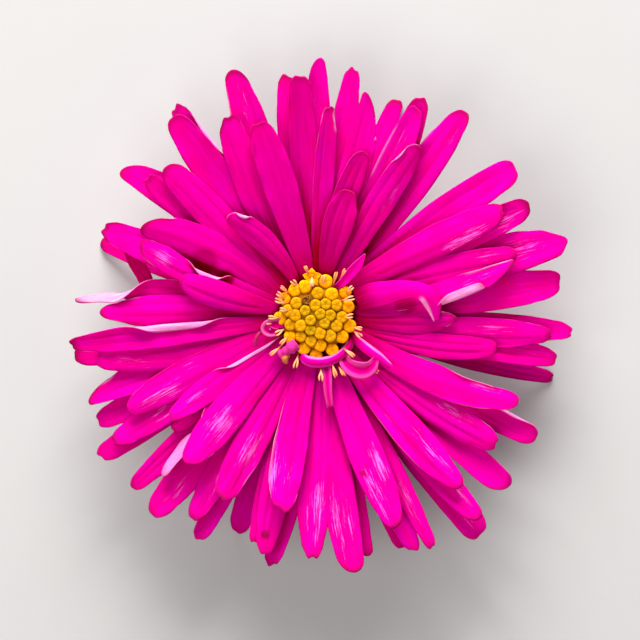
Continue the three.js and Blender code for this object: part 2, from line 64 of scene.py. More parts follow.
# name, tip angle, reach in steps, angle half way, root angle, width in steps, layer, cup, roll in degrees
Ray = namedtuple("Ray", "name tip reach mid root width layer cup roll", defaults=(0.1, 0))
RAYS = [Ray(*row) for row in [
    ("a_east_back", 356.4, 257, 356.2, 354, 28, 0.2),
    ("a_east_front", 355.3, 236, 353.2, 346, 31, 2, -0.1, 6),
    ("a_east_short", 349.8, 184, 345, 340, 26, 3, -0.15, -8),
    ("a_east_dark", 349.8, 245, 350, 350, 30, 1, 0.15, 10),
    ("a_low_one", 345.2, 248, 343.6, 342, 20, 0),
    ("b_curved", 337, 220, 331.5, 332.6, 33, 4, -0.15, -10),
    ("b_pale_edge", 331, 253, 329.8, 331, 29, 1, 0.2, 12),
    ("b_slanted", 324.4, 222, 321, 319, 34, 3, -0.15, 8),
    ("b_ridged", 317.8, 258, 317.6, 317, 33, 1, 0.25),
    ("b_front", 310, 225, 308, 307, 34, 4, -0.15, 4),
    ("b_middle", 308.4, 261, 307, 306, 29, 2, 0.05, -6),
    ("b_longest", 307, 276, 305.3, 303, 30, 0.2, 0.1, -8),
    ("c_long", 296.6, 260, 296.8, 299, 20, 2.2, -0.1, 10),
    ("c_back_one", 292.6, 256, 292.2, 293, 28, 1.4),
    ("c_back_two", 290.8, 249, 289.6, 290, 24, 0.5),
    ("c_veined", 291.2, 226, 289.6, 288, 36, 4, -0.1, -4),
    ("c_narrow", 282, 247, 282.6, 284, 19, 0.6),
    ("c_south_wide", 278.2, 260, 277, 280, 34, 2.4, -0.1, 4),
    ("d_south", 268.9, 243, 270, 275, 35, 2.8, -0.1),
    ("d_south_front", 260, 198, 258.6, 262, 36, 4.4, -0.15, 6),
    ("d_curled_tip", 259.8, 255, 262.4, 262, 27, 0.2, 0.2, 20),
    ("d_spotted", 257.6, 245, 257, 258, 31, 1.8, 0.05, -6),
    ("d_sliver", 254.6, 236, 253.6, 254, 20, 1.1),
    ("d_low_two", 249.8, 234, 249.6, 250, 27, 0),
    ("e_front", 242.8, 206, 243, 245, 34, 4, -0.15, -8),
    ("e_back", 242.3, 254, 242.6, 244, 24, 0.4),
    ("e_middle", 238.7, 239, 238.3, 240, 31, 1.8, -0.05, 6),
    ("e_bright", 229.4, 196, 227.8, 228, 37, 4.6, -0.15, 6),
    ("e_twisted", 226.3, 222, 222.5, 223, 18, 3, 0.1, 85),
    ("e_broad_back", 230.6, 259, 231, 232, 36, 1.2),
    ("f_back", 223.2, 253, 223.4, 224, 26, 0.4, 0.1, -10),
    ("f_dark_bit", 219, 184, 218.5, 218, 20, 0.6),
    ("f_fold", 215, 178, 214.6, 217, 26, 3.8, -0.1, 16),
    ("f_sheen", 206.8, 211, 205, 203, 34, 3.2, -0.12, -6),
    ("f_long_back", 213.4, 259, 213, 213, 27, 0.2),
    ("f_middle", 212.3, 239, 211.3, 210, 32, 1.8, -0.1, 6),
    ("f_blunt", 206, 244, 206.3, 206, 31, 0.8),
    ("g_pale_tip", 199.8, 240, 199, 200, 33, 1.4, 0.15, 14),
    ("g_swept", 191.4, 225, 196, 199, 30, 2.8, -0.12, 8),
    ("g_back", 189.9, 246, 191, 193, 27, 0.2),
    ("g_folded_margin", 186.9, 247, 187.2, 189, 27, 3.4, 0.2, -14),
    ("g_west", 179.6, 216, 178, 179, 33, 2.4, -0.1, 4),
    ("h_turned_tip", 176.6, 241, 171.4, 172, 29, 1.3, 0.15, -60),
    ("h_inner", 165.5, 140, 168.6, 171, 29, 5, -0.15, 8),
    ("h_glossy", 158.2, 190, 161.3, 163, 28, 3.8, -0.1, 14),
    ("h_low_three", 161.2, 230, 163.2, 167, 20, 0),
    ("h_back", 157.8, 230, 158.4, 159, 32, 1),
    ("i_front", 152.6, 195, 147.6, 152, 36, 3.2, -0.15, -8),
    ("i_hooked", 142.4, 242, 138.8, 140, 35, 0.6, 0.1, 8),
    ("i_shaded", 140.8, 218, 142, 142, 25, 1.8),
    ("i_middle", 135.2, 211, 135.8, 139, 33, 2.8, -0.1, 6),
    ("j_broad", 125.8, 245, 126.2, 130, 36, 2, 0.1, -6),
    ("j_pale_edge", 124, 252, 124.4, 127, 33, 1.3, 0.15, 10),
    ("j_front", 114.4, 217, 117, 122, 33, 2.8, -0.1, 6),
    ("j_folded_tip", 108.4, 259, 109.8, 111, 38, 1, 0.15, -12),
    ("j_short", 106.8, 201, 105.3, 103, 35, 4, 0.15, 4),
    ("j_inner", 132, 132, 124.8, 121, 25, 5, -0.2, -20),
    ("k_back", 96.8, 242, 97, 98, 34, 1),
    ("k_cupped", 93.8, 240, 94.6, 96, 29, 2, 0.25, 6),
    ("k_north", 89.6, 257, 90, 90, 29, 0.4),
    ("k_rimmed", 86.3, 209, 86.9, 90.5, 21, 3, 0.1, 14),
    ("k_back_two", 81.3, 250, 82, 83, 26, 0.9),
    ("k_cut_tip", 75.2, 220, 75, 76, 31, 2.2, 0.15, -8),
    ("l_low_four", 69.4, 233, 70, 71, 23, 0),
    ("l_behind", 73.5, 170, 77, 80, 25, 3.8, 0.1, 8),
    ("l_inner", 74.8, 129, 76.5, 77, 32, 5, 0.2),
    ("l_cupped", 63.8, 231, 62.9, 63.5, 31, 2, 0.25, -8),
    ("l_back", 64.1, 242, 61.8, 62, 33, 0.9),
    ("l_front", 58.8, 198, 60.3, 60, 29, 3.6, -0.05, 14),
    ("m_long", 54, 253, 53.6, 52, 35, 1),
    ("m_broad", 36.3, 249, 38.7, 42.4, 34, 1.2, 0.15),
    ("m_front", 28.9, 214, 32, 40, 34, 4, -0.15, -12),
    ("m_middle", 27, 240, 28.4, 33, 32, 1.8, 0.1, 6),
    ("n_notched", 17, 259, 18.3, 25, 43, 1.4, 0.1, -6),
    ("n_swept", 16.5, 209, 19.6, 29, 29, 3, -0.1, 8),
    ("n_rolled", 14, 201, 8.8, 6, 28, 3.9, -0.15, -22),
    ("n_dark", 7.6, 248, 7.6, 8, 39, 0.8, 0.2, 8),
    ("n_short", 359, 140, 356.4, 354, 27, 3.4, -0.1, 10),
]]
LOW_RAYS = ["a_low_one", "d_low_two", "h_low_three", "l_low_four"]

# margins that roll over: side (-1 right of the petal seen from its root, 1 left), turn in degrees (over 0
# upwards), start and end along the petal, share of the half width left flat, growth of the rolled part
MARGINS = {
    "g_folded_margin": [(-1, 178, 0.18, 0.78, 0.58, 1.7)],
    "n_rolled": [(-1, 180, 0.36, 0.98, 0.5, 1.7), (1, 150, 0.6, 1.2, 0.8, 1.2)],
    "h_glossy": [(-1, 0, 0.3, 0.85, 0.1, 0.55), (-1, 172, 0.3, 0.7, 0.3, 1)],
    "f_fold": [(-1, 176, -0.1, 0.58, 0.5, 0.8)], "b_pale_edge": [(1, 140, 0.55, 1.1, 0.72, 1.2)],
    "b_front": [(-1, 60, 0.2, 0.9, 0.5, 1)], "j_pale_edge": [(-1, 140, 0.55, 1.1, 0.66, 1.2)],
    "j_folded_tip": [(1, 80, 0.6, 1.1, 0.6, 1.2)], "l_front": [(1, 130, 0.8, 1.1, 0.76, 1.1)],
    "k_rimmed": [(-1, 140, 0.84, 1.2, 0.65, 1.2)], "j_inner": [(-1, 170, 0.72, 1.3, 0.68, 1.3)],
    "e_front": [(1, 120, 0.6, 1.1, 0.75, 1.1)], "d_south_front": [(-1, 90, 0.2, 0.9, 0.7, 1)],
    "b_curved": [(1, 78, 0.45, 1.1, 0.4, 0.6), (-1, 50, 0.5, 1.1, 0.6, 1)],
    "b_slanted": [(-1, -60, 0.3, 0.9, 0.6, 1)], "i_front": [(1, -50, 0.2, 0.9, 0.6, 1)],
    "b_ridged": [(-1, 40, 0.2, 1, 0.4, 1), (1, 40, 0.2, 1, 0.4, 1)],
    "n_short": [(1, 172, 0, 0.7, 0.8, 1.3)],
}

# ends of petals: share of the width kept at the end, slant (over 0: the left side is shorter), notch
ENDS = {
    "k_cut_tip": (0.75, -1.2, 0), "j_folded_tip": (0.66, -0.2, 0), "k_north": (0.56, 0.35, 0),
    "n_rolled": (0.5, -0.9, 0), "n_dark": (0.8, -0.15, 0.1), "n_short": (0.5, 0.2, 0),
    "g_west": (0.5, 0.1, 0), "i_front": (0.66, -0.4, 0), "i_hooked": (0.7, -0.5, 0),
    "n_notched": (0.75, 0.35, -0.15), "g_pale_tip": (0.6, -0.75, 0), "c_south_wide": (0.8, -0.2, 0),
    "m_broad": (0.85, -0.1, 0.08), "b_longest": (0.95, 0.1, 0.1), "b_ridged": (0.82, -0.3, 0),
    "b_pale_edge": (0.82, 0, 0.05),
}

# petals turned over towards the tip: degrees, start and end of the turn along the petal
TURNED = {"h_turned_tip": (-112, 0.58, 0.84), "e_twisted": (-130, 0.45, 0.82)}
# undersides that are less pale than the rest
BLUSH = {"e_twisted": 0.72}

# young, curled rays: name, fold in degrees, pale rims (right, left; on some a painted glint), points with
# x, y in steps, z in mm and width in steps
YOUNG = [
    ("crescent", -58, (0.7, 0.1), [
        (36, -22, 7, 6), (33, -31, 7.5, 9), (26, -39, 7.8, 10), (16, -45, 8, 10), (4, -47.5, 8.1, 10),
        (-8, -46, 8.1, 9), (-15, -41, 8, 6)]),
    ("hook", 44, (0.15, 0.22), [
        (27, -41, 6.9, 8), (31, -49, 7.6, 13), (38, -54, 8, 15), (47, -55.5, 8.2, 15), (55, -52, 8.3, 12),
        (60, -44, 8.2, 6)]),
    ("straight", -55, (0, 0.55), [
        (36, -20, 6.9, 8), (44, -28, 7.6, 9), (54, -36, 8.1, 9), (64, -43, 8.4, 8), (75, -52, 8.5, 5)]),
    ("left_curl", 34, (0.35, 0), [
        (-28, -8, 7.1, 8), (-38, -8.5, 7.7, 9), (-47, -10.5, 8, 10), (-50, -14, 8, 9), (-46, -17, 8, 9),
        (-38, -17.5, 7.9, 6)]),
    ("folded_south", 56, (0.1, 0.1), [
        (10, -42, 6.8, 8), (11, -58, 7.5, 9), (12, -76, 8, 9), (14, -92, 8.2, 6)]),
    ("west_strip", 12, (0, 0), [
        (-186, 66, 6.6, 12), (-181, 54, 6.5, 13), (-174, 42, 6.4, 13), (-168, 28, 6.3, 11),
        (-162, 16, 6.2, 8)]),
    ("folded_north", 24, (0, 0), [
        (18, 26, 7.4, 4), (27, 33, 7.7, 7), (35, 42, 7.9, 9), (42, 50, 8.1, 8), (49, 61, 8.2, 1.5)]),
]
# young rays given painted shade, darker than the rest
DARKER_YOUNG = {"west_strip": 0.66, "left_curl": 0.55, "folded_south": 0.35, "hook": 0.25}
RIBBON_THICK = 0.16
# a ray that bends round at its end, in the same way
BENT_RAY = [
    (40, 14, 6.9, 18), (54, 19, 7.4, 21), (69, 22, 7.9, 20), (84, 25, 8.4, 16), (100, 25, 8.7, 14),
    (111, 20, 8.8, 15), (117, 10, 8.6, 14), (120, -6, 8.2, 4),
]
# petals given painted shade, deeper in colour than the rest; under 0 it is painted light, brighter
SHADE_BY_PETAL = {
    "k_cupped": 0.24, "k_rimmed": 0.2, "l_inner": 0.22, "l_behind": 0.22, "l_front": 0.15, "l_cupped": 0.12,
    "k_cut_tip": 0.08, "j_short": 0.08, "a_east_short": 0.08, "n_short": 0.12, "m_long": 0.1,
    "j_broad": 0.06, "d_low_two": -0.4,
}
# lowest shade value: below 0 it is painted light
BRIGHTEST = -0.4
# pale rims, on some the paler underside of a turned margin, on others a painted glint: side, start and end
# along the petal, width as a share of the half width, strength
RIMS = {
    "g_pale_tip": (-1, 0.88, 1.08, 0.4, 1), "j_pale_edge": (-1, 0.7, 1, 0.16, 0.7),
    "l_front": (1, 0.84, 1, 0.16, 0.8), "l_cupped": (1, 0.55, 0.9, 0.1, 0.6),
    "k_rimmed": (-1, 0.85, 1.02, 0.3, 0.8), "d_south_front": (-1, 0.45, 1, 0.12, 0.6),
    "j_folded_tip": (1, 0.75, 0.95, 0.1, 0.6), "g_west": (-1, 0.75, 1, 0.1, 0.6),
    "n_rolled": (1, 0.7, 1, 0.16, 0.7), "b_pale_edge": (1, 0.6, 1, 0.14, 0.5),
    "m_long": (1, 0.7, 1, 0.08, 0.4),
}
# painted sheen, pale highlight streaks: place across (-1 right of the petal seen from its root, 1 left),
# start and end along the petal, width across, strength
SHEENS = {
    "a_east_back": [(0.1, 0.62, 0.85, 0.5, 0.5)], "a_east_front": [(0.3, 0.5, 0.9, 0.4, 0.55)],
    "a_east_dark": [(0.2, 0.75, 0.95, 0.5, 0.3)], "b_curved": [(0.6, 0.6, 1, 0.3, 0.7)],
    "b_slanted": [(0.5, 0.45, 0.95, 0.35, 0.7)],
    "b_front": [(0.3, 0.5, 1, 0.3, 0.7), (-0.3, 0.35, 0.6, 0.25, 0.4)],
    "b_middle": [(0.3, 0.7, 0.98, 0.35, 0.6)], "b_longest": [(0, 0.8, 1, 0.3, 0.4)],
    "c_veined": [(0.45, 0.45, 0.8, 0.3, 0.95), (-0.4, 0.5, 1, 0.35, 0.8)],
    "c_long": [(-0.1, 0.55, 0.95, 0.4, 0.6)],
    "c_south_wide": [(-0.35, 0.45, 1, 0.35, 0.75), (0.4, 0.6, 0.95, 0.3, 0.5)],
    "d_south": [(0.3, 0.45, 0.98, 0.3, 0.95), (-0.3, 0.6, 0.9, 0.25, 0.5)],
    "d_south_front": [(-0.75, 0.5, 0.98, 0.3, 0.9), (0.1, 0.6, 0.9, 0.5, 0.3)],
    "e_front": [(0.2, 0.45, 0.85, 0.5, 0.75)], "e_middle": [(0.2, 0.6, 0.9, 0.4, 0.5)],
    "e_bright": [(0.1, 0.45, 0.85, 0.6, 0.9)], "e_broad_back": [(0.3, 0.7, 0.95, 0.4, 0.45)],
    "f_sheen": [(0.2, 0.55, 0.98, 0.4, 0.85), (-0.5, 0.4, 0.7, 0.3, 0.4)],
    "f_middle": [(0, 0.55, 0.85, 0.5, 0.5)], "f_fold": [(-0.1, 0.55, 0.98, 0.4, 0.5)],
    "g_swept": [(0.2, 0.6, 0.95, 0.5, 0.4)], "h_glossy": [(0.05, 0.68, 0.95, 0.45, 0.9)],
    "m_front": [(-0.6, 0.5, 0.95, 0.35, 0.9)], "m_middle": [(-0.3, 0.7, 0.98, 0.5, 0.7)],
    "n_notched": [(0.1, 0.65, 0.95, 0.5, 0.5)], "n_swept": [(0.4, 0.7, 0.98, 0.4, 0.5)],
    "n_rolled": [(0.2, 0.6, 0.95, 0.3, 0.4)], "m_long": [(-0.2, 0.75, 0.95, 0.4, 0.3)],
    "j_folded_tip": [(0, 0.7, 0.95, 0.4, 0.3)], "l_front": [(-0.4, 0.4, 0.8, 0.2, 0.5)],
    "l_cupped": [(0.2, 0.6, 0.95, 0.3, 0.4)], "k_cut_tip": [(0.3, 0.3, 0.8, 0.3, 0.4)],
}
# dry spots: x, y in steps, size in mm, amount
BLEMISHES = {
    "c_veined": [(47, -158, 0.45, 0.8), (50, -151, 0.3, 0.5)], "d_spotted": [(-51, -220, 0.55, 1)],
    "h_back": [(-214, 78, 0.3, 0.5)],
}
# painted shade in hollows between petals: x, y and radius in steps, amount
HOLLOWS = [(90, 12, 15, 0.7), (-112, 54, 17, 0.55), (-91, 36, 12, 0.9)]
HOLLOWS_BELOW = 4.5  # layer from which petals lie over them

# disc florets: x, y in steps, kind
BUDS = [
    (-4, 37.5, "open"), (9, 31, "ripe"), (-19.5, 23, "ripe"), (-10, 26, "ripe"), (1.5, 20, "bud"),
    (14.5, 19, "ripe"), (27, 21, "ripe"), (-29, 15, "ripe"), (-18, 11, "bud"), (-8.5, 14, "withered"),
    (-0.5, 9, "young"), (9, 10, "young"), (19, 9, "bud"), (29.5, 7.5, "ripe"), (-26, 4, "bud"),
    (-10, 4, "young"), (-19, -0.5, "bud"), (-33, -3, "ripe"), (4, 1, "young"), (13, -0.5, "young"),
    (24, -2, "bud"), (-5, -5, "young"), (-23.5, -9, "bud"), (-14, -10, "bud"), (8, -7.5, "young"),
    (19, -10, "bud"), (31, -10, "ripe"), (-5, -14, "young"), (-23.5, -20, "ripe"), (-14, -20, "bud"),
    (4, -17, "bud"), (13, -19, "bud"), (24, -20, "ripe"), (-4.5, -24, "bud"), (-11, -30.5, "ripe"),
    (4, -28, "ripe"), (15, -32, "ripe"), (0, -37.5, "ripe"),
]

# style branches of the rays: x, y in steps of the tip
STYLES = [
    (-11, 49), (-24, 34), (-35, 28), (-39, 22), (-40, 15), (-36, 6), (-47, -2), (-50, -7), (-40, -19),
    (-35, -29), (-45, -39), (-21, -52), (5, -65), (20, -61), (28, -60), (37, -41), (62, -57), (46, -14),
    (45, -22), (36, -1), (37, 17), (37, 28), (29, 45), (20, 42), (7, 39),
]

# a rolled bud of a late ray, the shrivelled end of another, a withered style: x, y in steps, z in mm
ROLLED_BUD = [(-36, -40, 7.7), (-31, -37, 8), (-25, -33, 8.2), (-19, -29, 8.1)]
SHRIVELLED = [(-48, -15, 7.8), (-56, -18, 7.9), (-60, -24, 8), (-61, -31, 7.9)]
WITHERED_STYLE = [(-26, -39, 7.9), (-31, -43, 8.1), (-29, -49, 8)]

# tubes at the roots of the rays: count in a ring, for each ring its radius, foot and top, and their own
# radii from foot to top
TUBES = 66
TUBE_RINGS = [(3.62, CORE_FOOT, 6.3), (4.05, CORE_FOOT + 0.03, 6), (4.5, CORE_FOOT, 5.9)]
TUBE_RADII = [0.2, 0.23, 0.23, 0.12]

# radii from foot to tip in mm; the foot and the fork of a style lie so many mm back from its tip
STEM_RADII = [0.09, 0.085, 0.08, 0.08, 0.085, 0.09]
BRANCH_RADII = [0.06, 0.07, 0.08, 0.088, 0.092, 0.09, 0.075, 0.03]
STIGMA_RADII = [0.1, 0.1, 0.1, 0.11, 0.12, 0.14, 0.14, 0.04]
WITHERED_RADII = [0.12, 0.2, 0.3, 0.26, 0.34, 0.28, 0.36, 0.28, 0.32, 0.22, 0.2, 0.05]
STYLE_FOOT, STYLE_FORK = 1.25, 0.85
STYLE_HEIGHTS = (7.0, 8.0)  # of its foot and of its tip


def rad(degrees):
    return degrees * math.pi / 180


def mix(low, high, share):
    return low + (high - low) * share


def smooth(low, high, value):
    """Rises smoothly from 0 at low to 1 at high."""
    t = np.clip((value - low) / (high - low), 0, 1)
    return t * t * (3 - 2 * t)


def between(start, full, fade, end, value):
    """Rises smoothly from start to full, and falls again from fade to end."""
    return smooth(start, full, value) * (1 - smooth(fade, end, value))


def bell(away, wide):
    return np.exp(-(away / wide) ** 2)


def draw(i, k):
    """Seeded draw in 0..1 for item i; k tells its uses apart."""
    turn = math.sin(i * 12.9898 + k * 78.233 + 4.1) * 43758.5453
    return turn - math.floor(turn)


def unit(vectors):
    return vectors / np.maximum(np.linalg.norm(vectors, axis=-1, keepdims=True), 1e-12)


def placed(points):
    """Points given as x, y in steps and z in mm, in mm."""
    return [[x * STEP, y * STEP, z] for x, y, z in points]


def full_turn(count):
    return np.arange(count) * 2 * math.pi / count


def spline(points, count):
    """Smooth path through the points, with count samples."""
    points = np.asarray(points, float)
    padded = np.vstack([2 * points[0] - points[1], points, 2 * points[-1] - points[-2]])
    out = []
    for t in np.linspace(0, len(points) - 1, count):
        k = min(int(t), len(points) - 2)
        f = t - k
        a, b, c, d = padded[k:k + 4]
        out.append(0.5 * (2 * b + (c - a) * f + (2 * a - 5 * b + 4 * c - d) * f ** 2
                          + (3 * b - a - 3 * c + d) * f ** 3))
    return np.array(out)


# ---- meshes ----
def linked(name, data):
    """A new object in the scene."""
    thing = bpy.data.objects.new(name, data)
    bpy.context.scene.collection.objects.link(thing)
    return thing


# Each point carries a place in the texture (lay), a painted sheen (sheen) and four colour values (tone).
# Shade is painted shade (painted light under 0), though on shrivelled bits it is their deep colour; the
# dry value also paints shade on the petal margins, and the floret gap value is painted shade:
SHADE, PALE, CHANCE, DRY_AND_EDGE_SHADE = range(4)  # petals: deep colour, pale rim or underside, seed, dry edge
AGE, GAP, _, DIMPLE = range(4)  # florets: age, gap to the next, seed, dimple
LEAFY, CUT, _, OUTWARD = range(4)  # green parts: leafy tip, cut face, seed, place on the cut


class Heap:
    """Collects grids of points into one mesh."""

    def __init__(self):
        self.points, self.faces, self.lays, self.tones, self.sheens = [], [], [], [], []
        self.count = 0

    def add(self, points, faces, along, across, tone, sheen=0):
        """Adds a grid of points with its faces; the other values are spread over the grid."""
        shape = points.shape[:-1]
        self.points.append(points.reshape(-1, 3))
        self.faces += [tuple(k + self.count for k in face) for face in faces]
        lay = [np.broadcast_to(value, shape).ravel() for value in (along, across)]
        self.lays.append(np.column_stack(lay))
        self.tones.append(np.broadcast_to(tone, (*shape, 4)).reshape(-1, 4))
        self.sheens.append(np.broadcast_to(sheen, shape).ravel())
        self.count += len(self.points[-1])

    def add_sheet(self, middle, thick, along, across, tone, sheen=0):
        """Adds a closed thin sheet round its middle grid; thick is one value or one for each column."""
        normal = unit(np.cross(np.gradient(middle, axis=0), np.gradient(middle, axis=1)))
        half = normal * (thick * np.ones(middle.shape[:2]))[..., None] / 2
        points = np.stack([middle + half, middle - half])
        self.add(points, sheet_faces(*middle.shape[:2]), along[:, None], across, tone, sheen)

    def add_rings(self, points, along, tone, lap=1):
        """Adds a closed tube of rings, with flat ends; lap is the share of the texture round it."""
        rings, around = points.shape[:2]
        self.add(points, ring_faces(rings, around), along[:, None], np.arange(around) / around * lap, tone)

    def piece(self, name, look, node):
        material, slot = LOOKS[look]
        mesh = bpy.data.meshes.new(name)
        mesh.from_pydata((np.concatenate(self.points) / 1000).tolist(), [], self.faces)
        mesh.polygons.foreach_set("use_smooth", [True] * len(mesh.polygons))
        corners = np.zeros(len(mesh.loops), np.int32)
        mesh.loops.foreach_get("vertex_index", corners)
        lay = np.concatenate(self.lays)[corners].astype(np.float32)
        mesh.uv_layers.new(name="lay").data.foreach_set("uv", lay.ravel())
        tone = np.concatenate(self.tones).astype(np.float32)
        mesh.attributes.new("tone", "FLOAT_COLOR", "POINT").data.foreach_set("color", tone.ravel())
        sheen = np.concatenate(self.sheens).astype(np.float32)
        mesh.attributes.new("sheen", "FLOAT", "POINT").data.foreach_set("value", sheen)
        mesh.materials.append(material)
        mesh.validate()
        piece = linked(name, mesh)
        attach(piece, "root")
        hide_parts(node)


def sheet_faces(rows, columns):
    """Faces of a closed thin sheet: rows * columns points on top, then as many below."""
    under = rows * columns
    faces = []
    for a in (i * columns + j for i in range(rows - 1) for j in range(columns - 1)):
        b = under + a
        faces += [(a, a + columns, a + columns + 1, a + 1), (b, b + 1, b + columns + 1, b + columns)]
    for left in range(0, under - columns, columns):
        right = left + columns - 1
        faces += [(left, under + left, under + left + columns, left + columns),
                  (right, right + columns, under + right + columns, under + right)]
    for first in range(columns - 1):
        last = under - columns + first
        faces += [(first, first + 1, under + first + 1, under + first),
                  (last, under + last, under + last + 1, last + 1)]
    return faces


def ring_faces(rings, around):
    """Faces of a closed tube of rings, with flat ends."""
    faces = []
    for start in range(0, (rings - 1) * around, around):
        for a in range(start, start + around):
            b = start + (a + 1) % around
            faces.append((a, b, b + around, a + around))
    last = (rings - 1) * around
    return [*faces, tuple(range(around))[::-1], tuple(range(last, last + around))]


def frames(centres):
    """Unit vectors along, across and up at each centre point."""
    along = unit(np.gradient(centres, axis=0))
    across = unit(np.stack([-along[:, 1], along[:, 0], np.zeros(len(along))], axis=1))
    return along, across, np.cross(along, across)


def across_points(step, slope):
    """Place sideways and rise of each column from the widths and slopes of the cells between them."""
    both = np.cumsum(step * np.stack([np.cos(slope), np.sin(slope)]), axis=2)
    both = np.pad(both, ((0, 0), (0, 0), (1, 0)))
    return both - both[:, :, slope.shape[1] // 2, None]


def grid(centres, across, up, sideways, rise):
    """Points of a sheet round its middle line."""
    return centres[:, None, :] + across[:, None, :] * sideways[..., None] + up[:, None, :] * rise[..., None]


def tube(heap, centres, radii, sides, tone):
    along = unit(np.gradient(centres, axis=0))
    helper = np.array([0.31, 0.12, 0.94]) if abs(along[0][2]) < 0.8 else np.array([0.95, 0.2, 0.24])
    across = unit(np.cross(helper, along))
    other = np.cross(along, across)
    angle = full_turn(sides)
    ring = np.cos(angle)[:, None] * across[:, None, :] + np.sin(angle)[:, None] * other[:, None, :]
    points = centres[:, None, :] + ring * np.array(radii)[:, None, None]
    heap.add_rings(points, np.linspace(0, 1, len(centres)), tone)


# ---- one ray ----
ROWS, COLUMNS = 56, 25
ACROSS = np.linspace(-1, 1, COLUMNS)  # places across the petal, -1 right and 1 left
CELLS = (ACROSS[1:] + ACROSS[:-1]) / 2  # the middle of each cell between them
CLAW = np.array([9.0, 7.0, 5.0, 3.4, 1.7])  # steps by which the rows of the claw lie inside the root
CLAW_DROP = 0.016  # fall of the claw, times the square of its steps
CLAW_TAPER = 0.04  # share of its width that it loses in each step
CLAW_WIDTH = 0.44  # width at the root, as a share of the full width
WIDE_FROM = 0.55  # place along the petal where it reaches its full width
TAPER_FROM = 0.58  # and where it narrows again
END_KEPT = (0.6, 0.82)  # share of the width kept at an end that has no row in ENDS
END_FROM = 0.76  # where the round end starts
END_ROUND = 0.985  # under 1, so that the end meets the margin at a finite slope
UNDULATION = 0.13  # mm, slow waves along a petal
LEAN = 10  # degrees, range of a petal's own turn about its length
NATURAL_ROLL = 26  # degrees, steepest margin of a petal with no row in MARGINS
TIGHT_ROLL = 100  # degrees from which a margin counts as rolled over
FOLDS = [(-0.36, 1, 0.15), (0.34, 1, 0.15), (0.02, 0.2, 0.1)]  # place across, depth and width of folds


def layer_value(values, layer):
    low = min(int(layer), len(values) - 2)
    return mix(values[low], values[low + 1], layer - low)


def ray_width(s, name, index):
    """Share of the full width along the petal; the round end comes on top of this."""
    widening = CLAW_WIDTH + (1 - CLAW_WIDTH) * (np.clip(s, 0, 1) / WIDE_FROM) ** 0.8
    kept = ENDS[name][0] if name in ENDS else mix(*END_KEPT, draw(index, 44))
    narrowing = 1 - (1 - kept) * (np.clip(s - TAPER_FROM, 0, 1) / (1 - TAPER_FROM)) ** 2.1
    return np.where(s < WIDE_FROM, widening, 1) * narrowing


def ray_centres(s, ray, index):
    """Middle line of a petal, through its root, half way and tip in plan, and its length."""
    def point(angle, reach):
        return np.array([reach * math.cos(rad(angle)), reach * math.sin(rad(angle))])

    root, tip = point(ray.root, ROOT_REACH), point(ray.tip, ray.reach)
    handle = 2 * point(ray.mid, (ROOT_REACH + ray.reach) / 2) - (root + tip) / 2
    share = s[:, None]
    plan = STEP * ((1 - share) ** 2 * root + 2 * share * (1 - share) * handle + share ** 2 * tip)
    length = STEP * (ray.reach - ROOT_REACH)
    if ray.name in LOW_RAYS:
        return np.column_stack([plan, mix(ROOT_HEIGHT, TIP_REST, s ** 1.5)]), length
    first = math.tan(rad(layer_value(LAYER_SLOPE_ROOT, ray.layer)))
    final = math.tan(rad(layer_value(LAYER_SLOPE_TIP, ray.layer)))
    height = ROOT_HEIGHT + ROOT_STEP * ray.layer + length * (first * s + (final - first) * s * s / 2)
    height = height + (draw(index, 1) - 0.5) * 0.5 * s * s
    height = height + UNDULATION * np.sin(s * (4 + 4 * draw(index, 11)) + 6 * draw(index, 12)) * s
    return np.column_stack([plan, height]), length


def turned_frames(centres, s, ray, index):
    """Vectors along, across and up, turned about the petal's length."""
    along, across, up = frames(centres)
    if ray.name in TURNED:
        degrees, start, end = TURNED[ray.name]
        turn = rad(degrees) * smooth(start, end, s)
    elif ray.name in LOW_RAYS:
        turn = np.zeros(len(s))
    else:
        turn = rad(ray.roll + (draw(index, 2) - 0.5) * LEAN) * s * s
    cosine, sine = np.cos(turn)[:, None], np.sin(turn)[:, None]
    return along, across * cosine + up * sine, up * cosine - across * sine


def ray_slopes(s, ray, index):
    """Slope across each cell of the petal, and how much wider each cell is than its share."""
    cup = 0 if ray.name in LOW_RAYS else CUP_GAIN * ray.cup
    slope = math.atan(cup) * np.tanh(CELLS / 0.3) * np.clip(s * 3, 0, 1)[:, None]
    growth = np.ones((len(s), COLUMNS - 1))
    natural = [(side, mix(-NATURAL_ROLL, NATURAL_ROLL, draw(index, k)), 0.1, 1.2, 0.62, 1.0)
               for side, k in ((-1, 13), (1, 14))]
    for side, degrees, start, end, flat, more in MARGINS.get(ray.name, natural):
        fade = min(0.25, 0.48 * (end - start))
        length_share = between(start, start + fade, end - fade, end, s)[:, None]
        tight = flat + 0.22 if abs(degrees) > TIGHT_ROLL else 1
        part = (smooth(flat, tight, np.abs(CELLS)) * (np.sign(CELLS) == side))[None, :]
        slope += side * rad(degrees) * length_share * part
        growth += (more - 1) * length_share * (part > 0)
    return slope, growth


def ray_folds(s, run, low, index):
    """Rise of the surface by its long folds and by the ripple of its margins."""
    folds = np.zeros((len(s), COLUMNS))
    strength = mix(0.05, 0.14, draw(index, 15))
    for k, (place, deep, wide) in enumerate(FOLDS):
        at = place + 0.14 * (draw(index, 20 + k) - 0.5) + 0.05 * np.sin(3 * s + 6 * draw(index, 30 + k))
        deep = deep * mix(0.3, 1.3, draw(index, 40 + k))
        folds -= strength * deep * bell(ACROSS[None, :] - at[:, None], wide)
    folds *= between(0.03, 0.25, 0.8, 1, s)[:, None]
    if low:
        return folds
    ripple = 0.05 * np.sin(run * mix(1.1, 2.2, draw(index, 46)) + 6 * draw(index, 47))[:, None]
    return folds + ripple * np.abs(ACROSS) ** 3 * smooth(0.2, 0.5, s)[:, None]


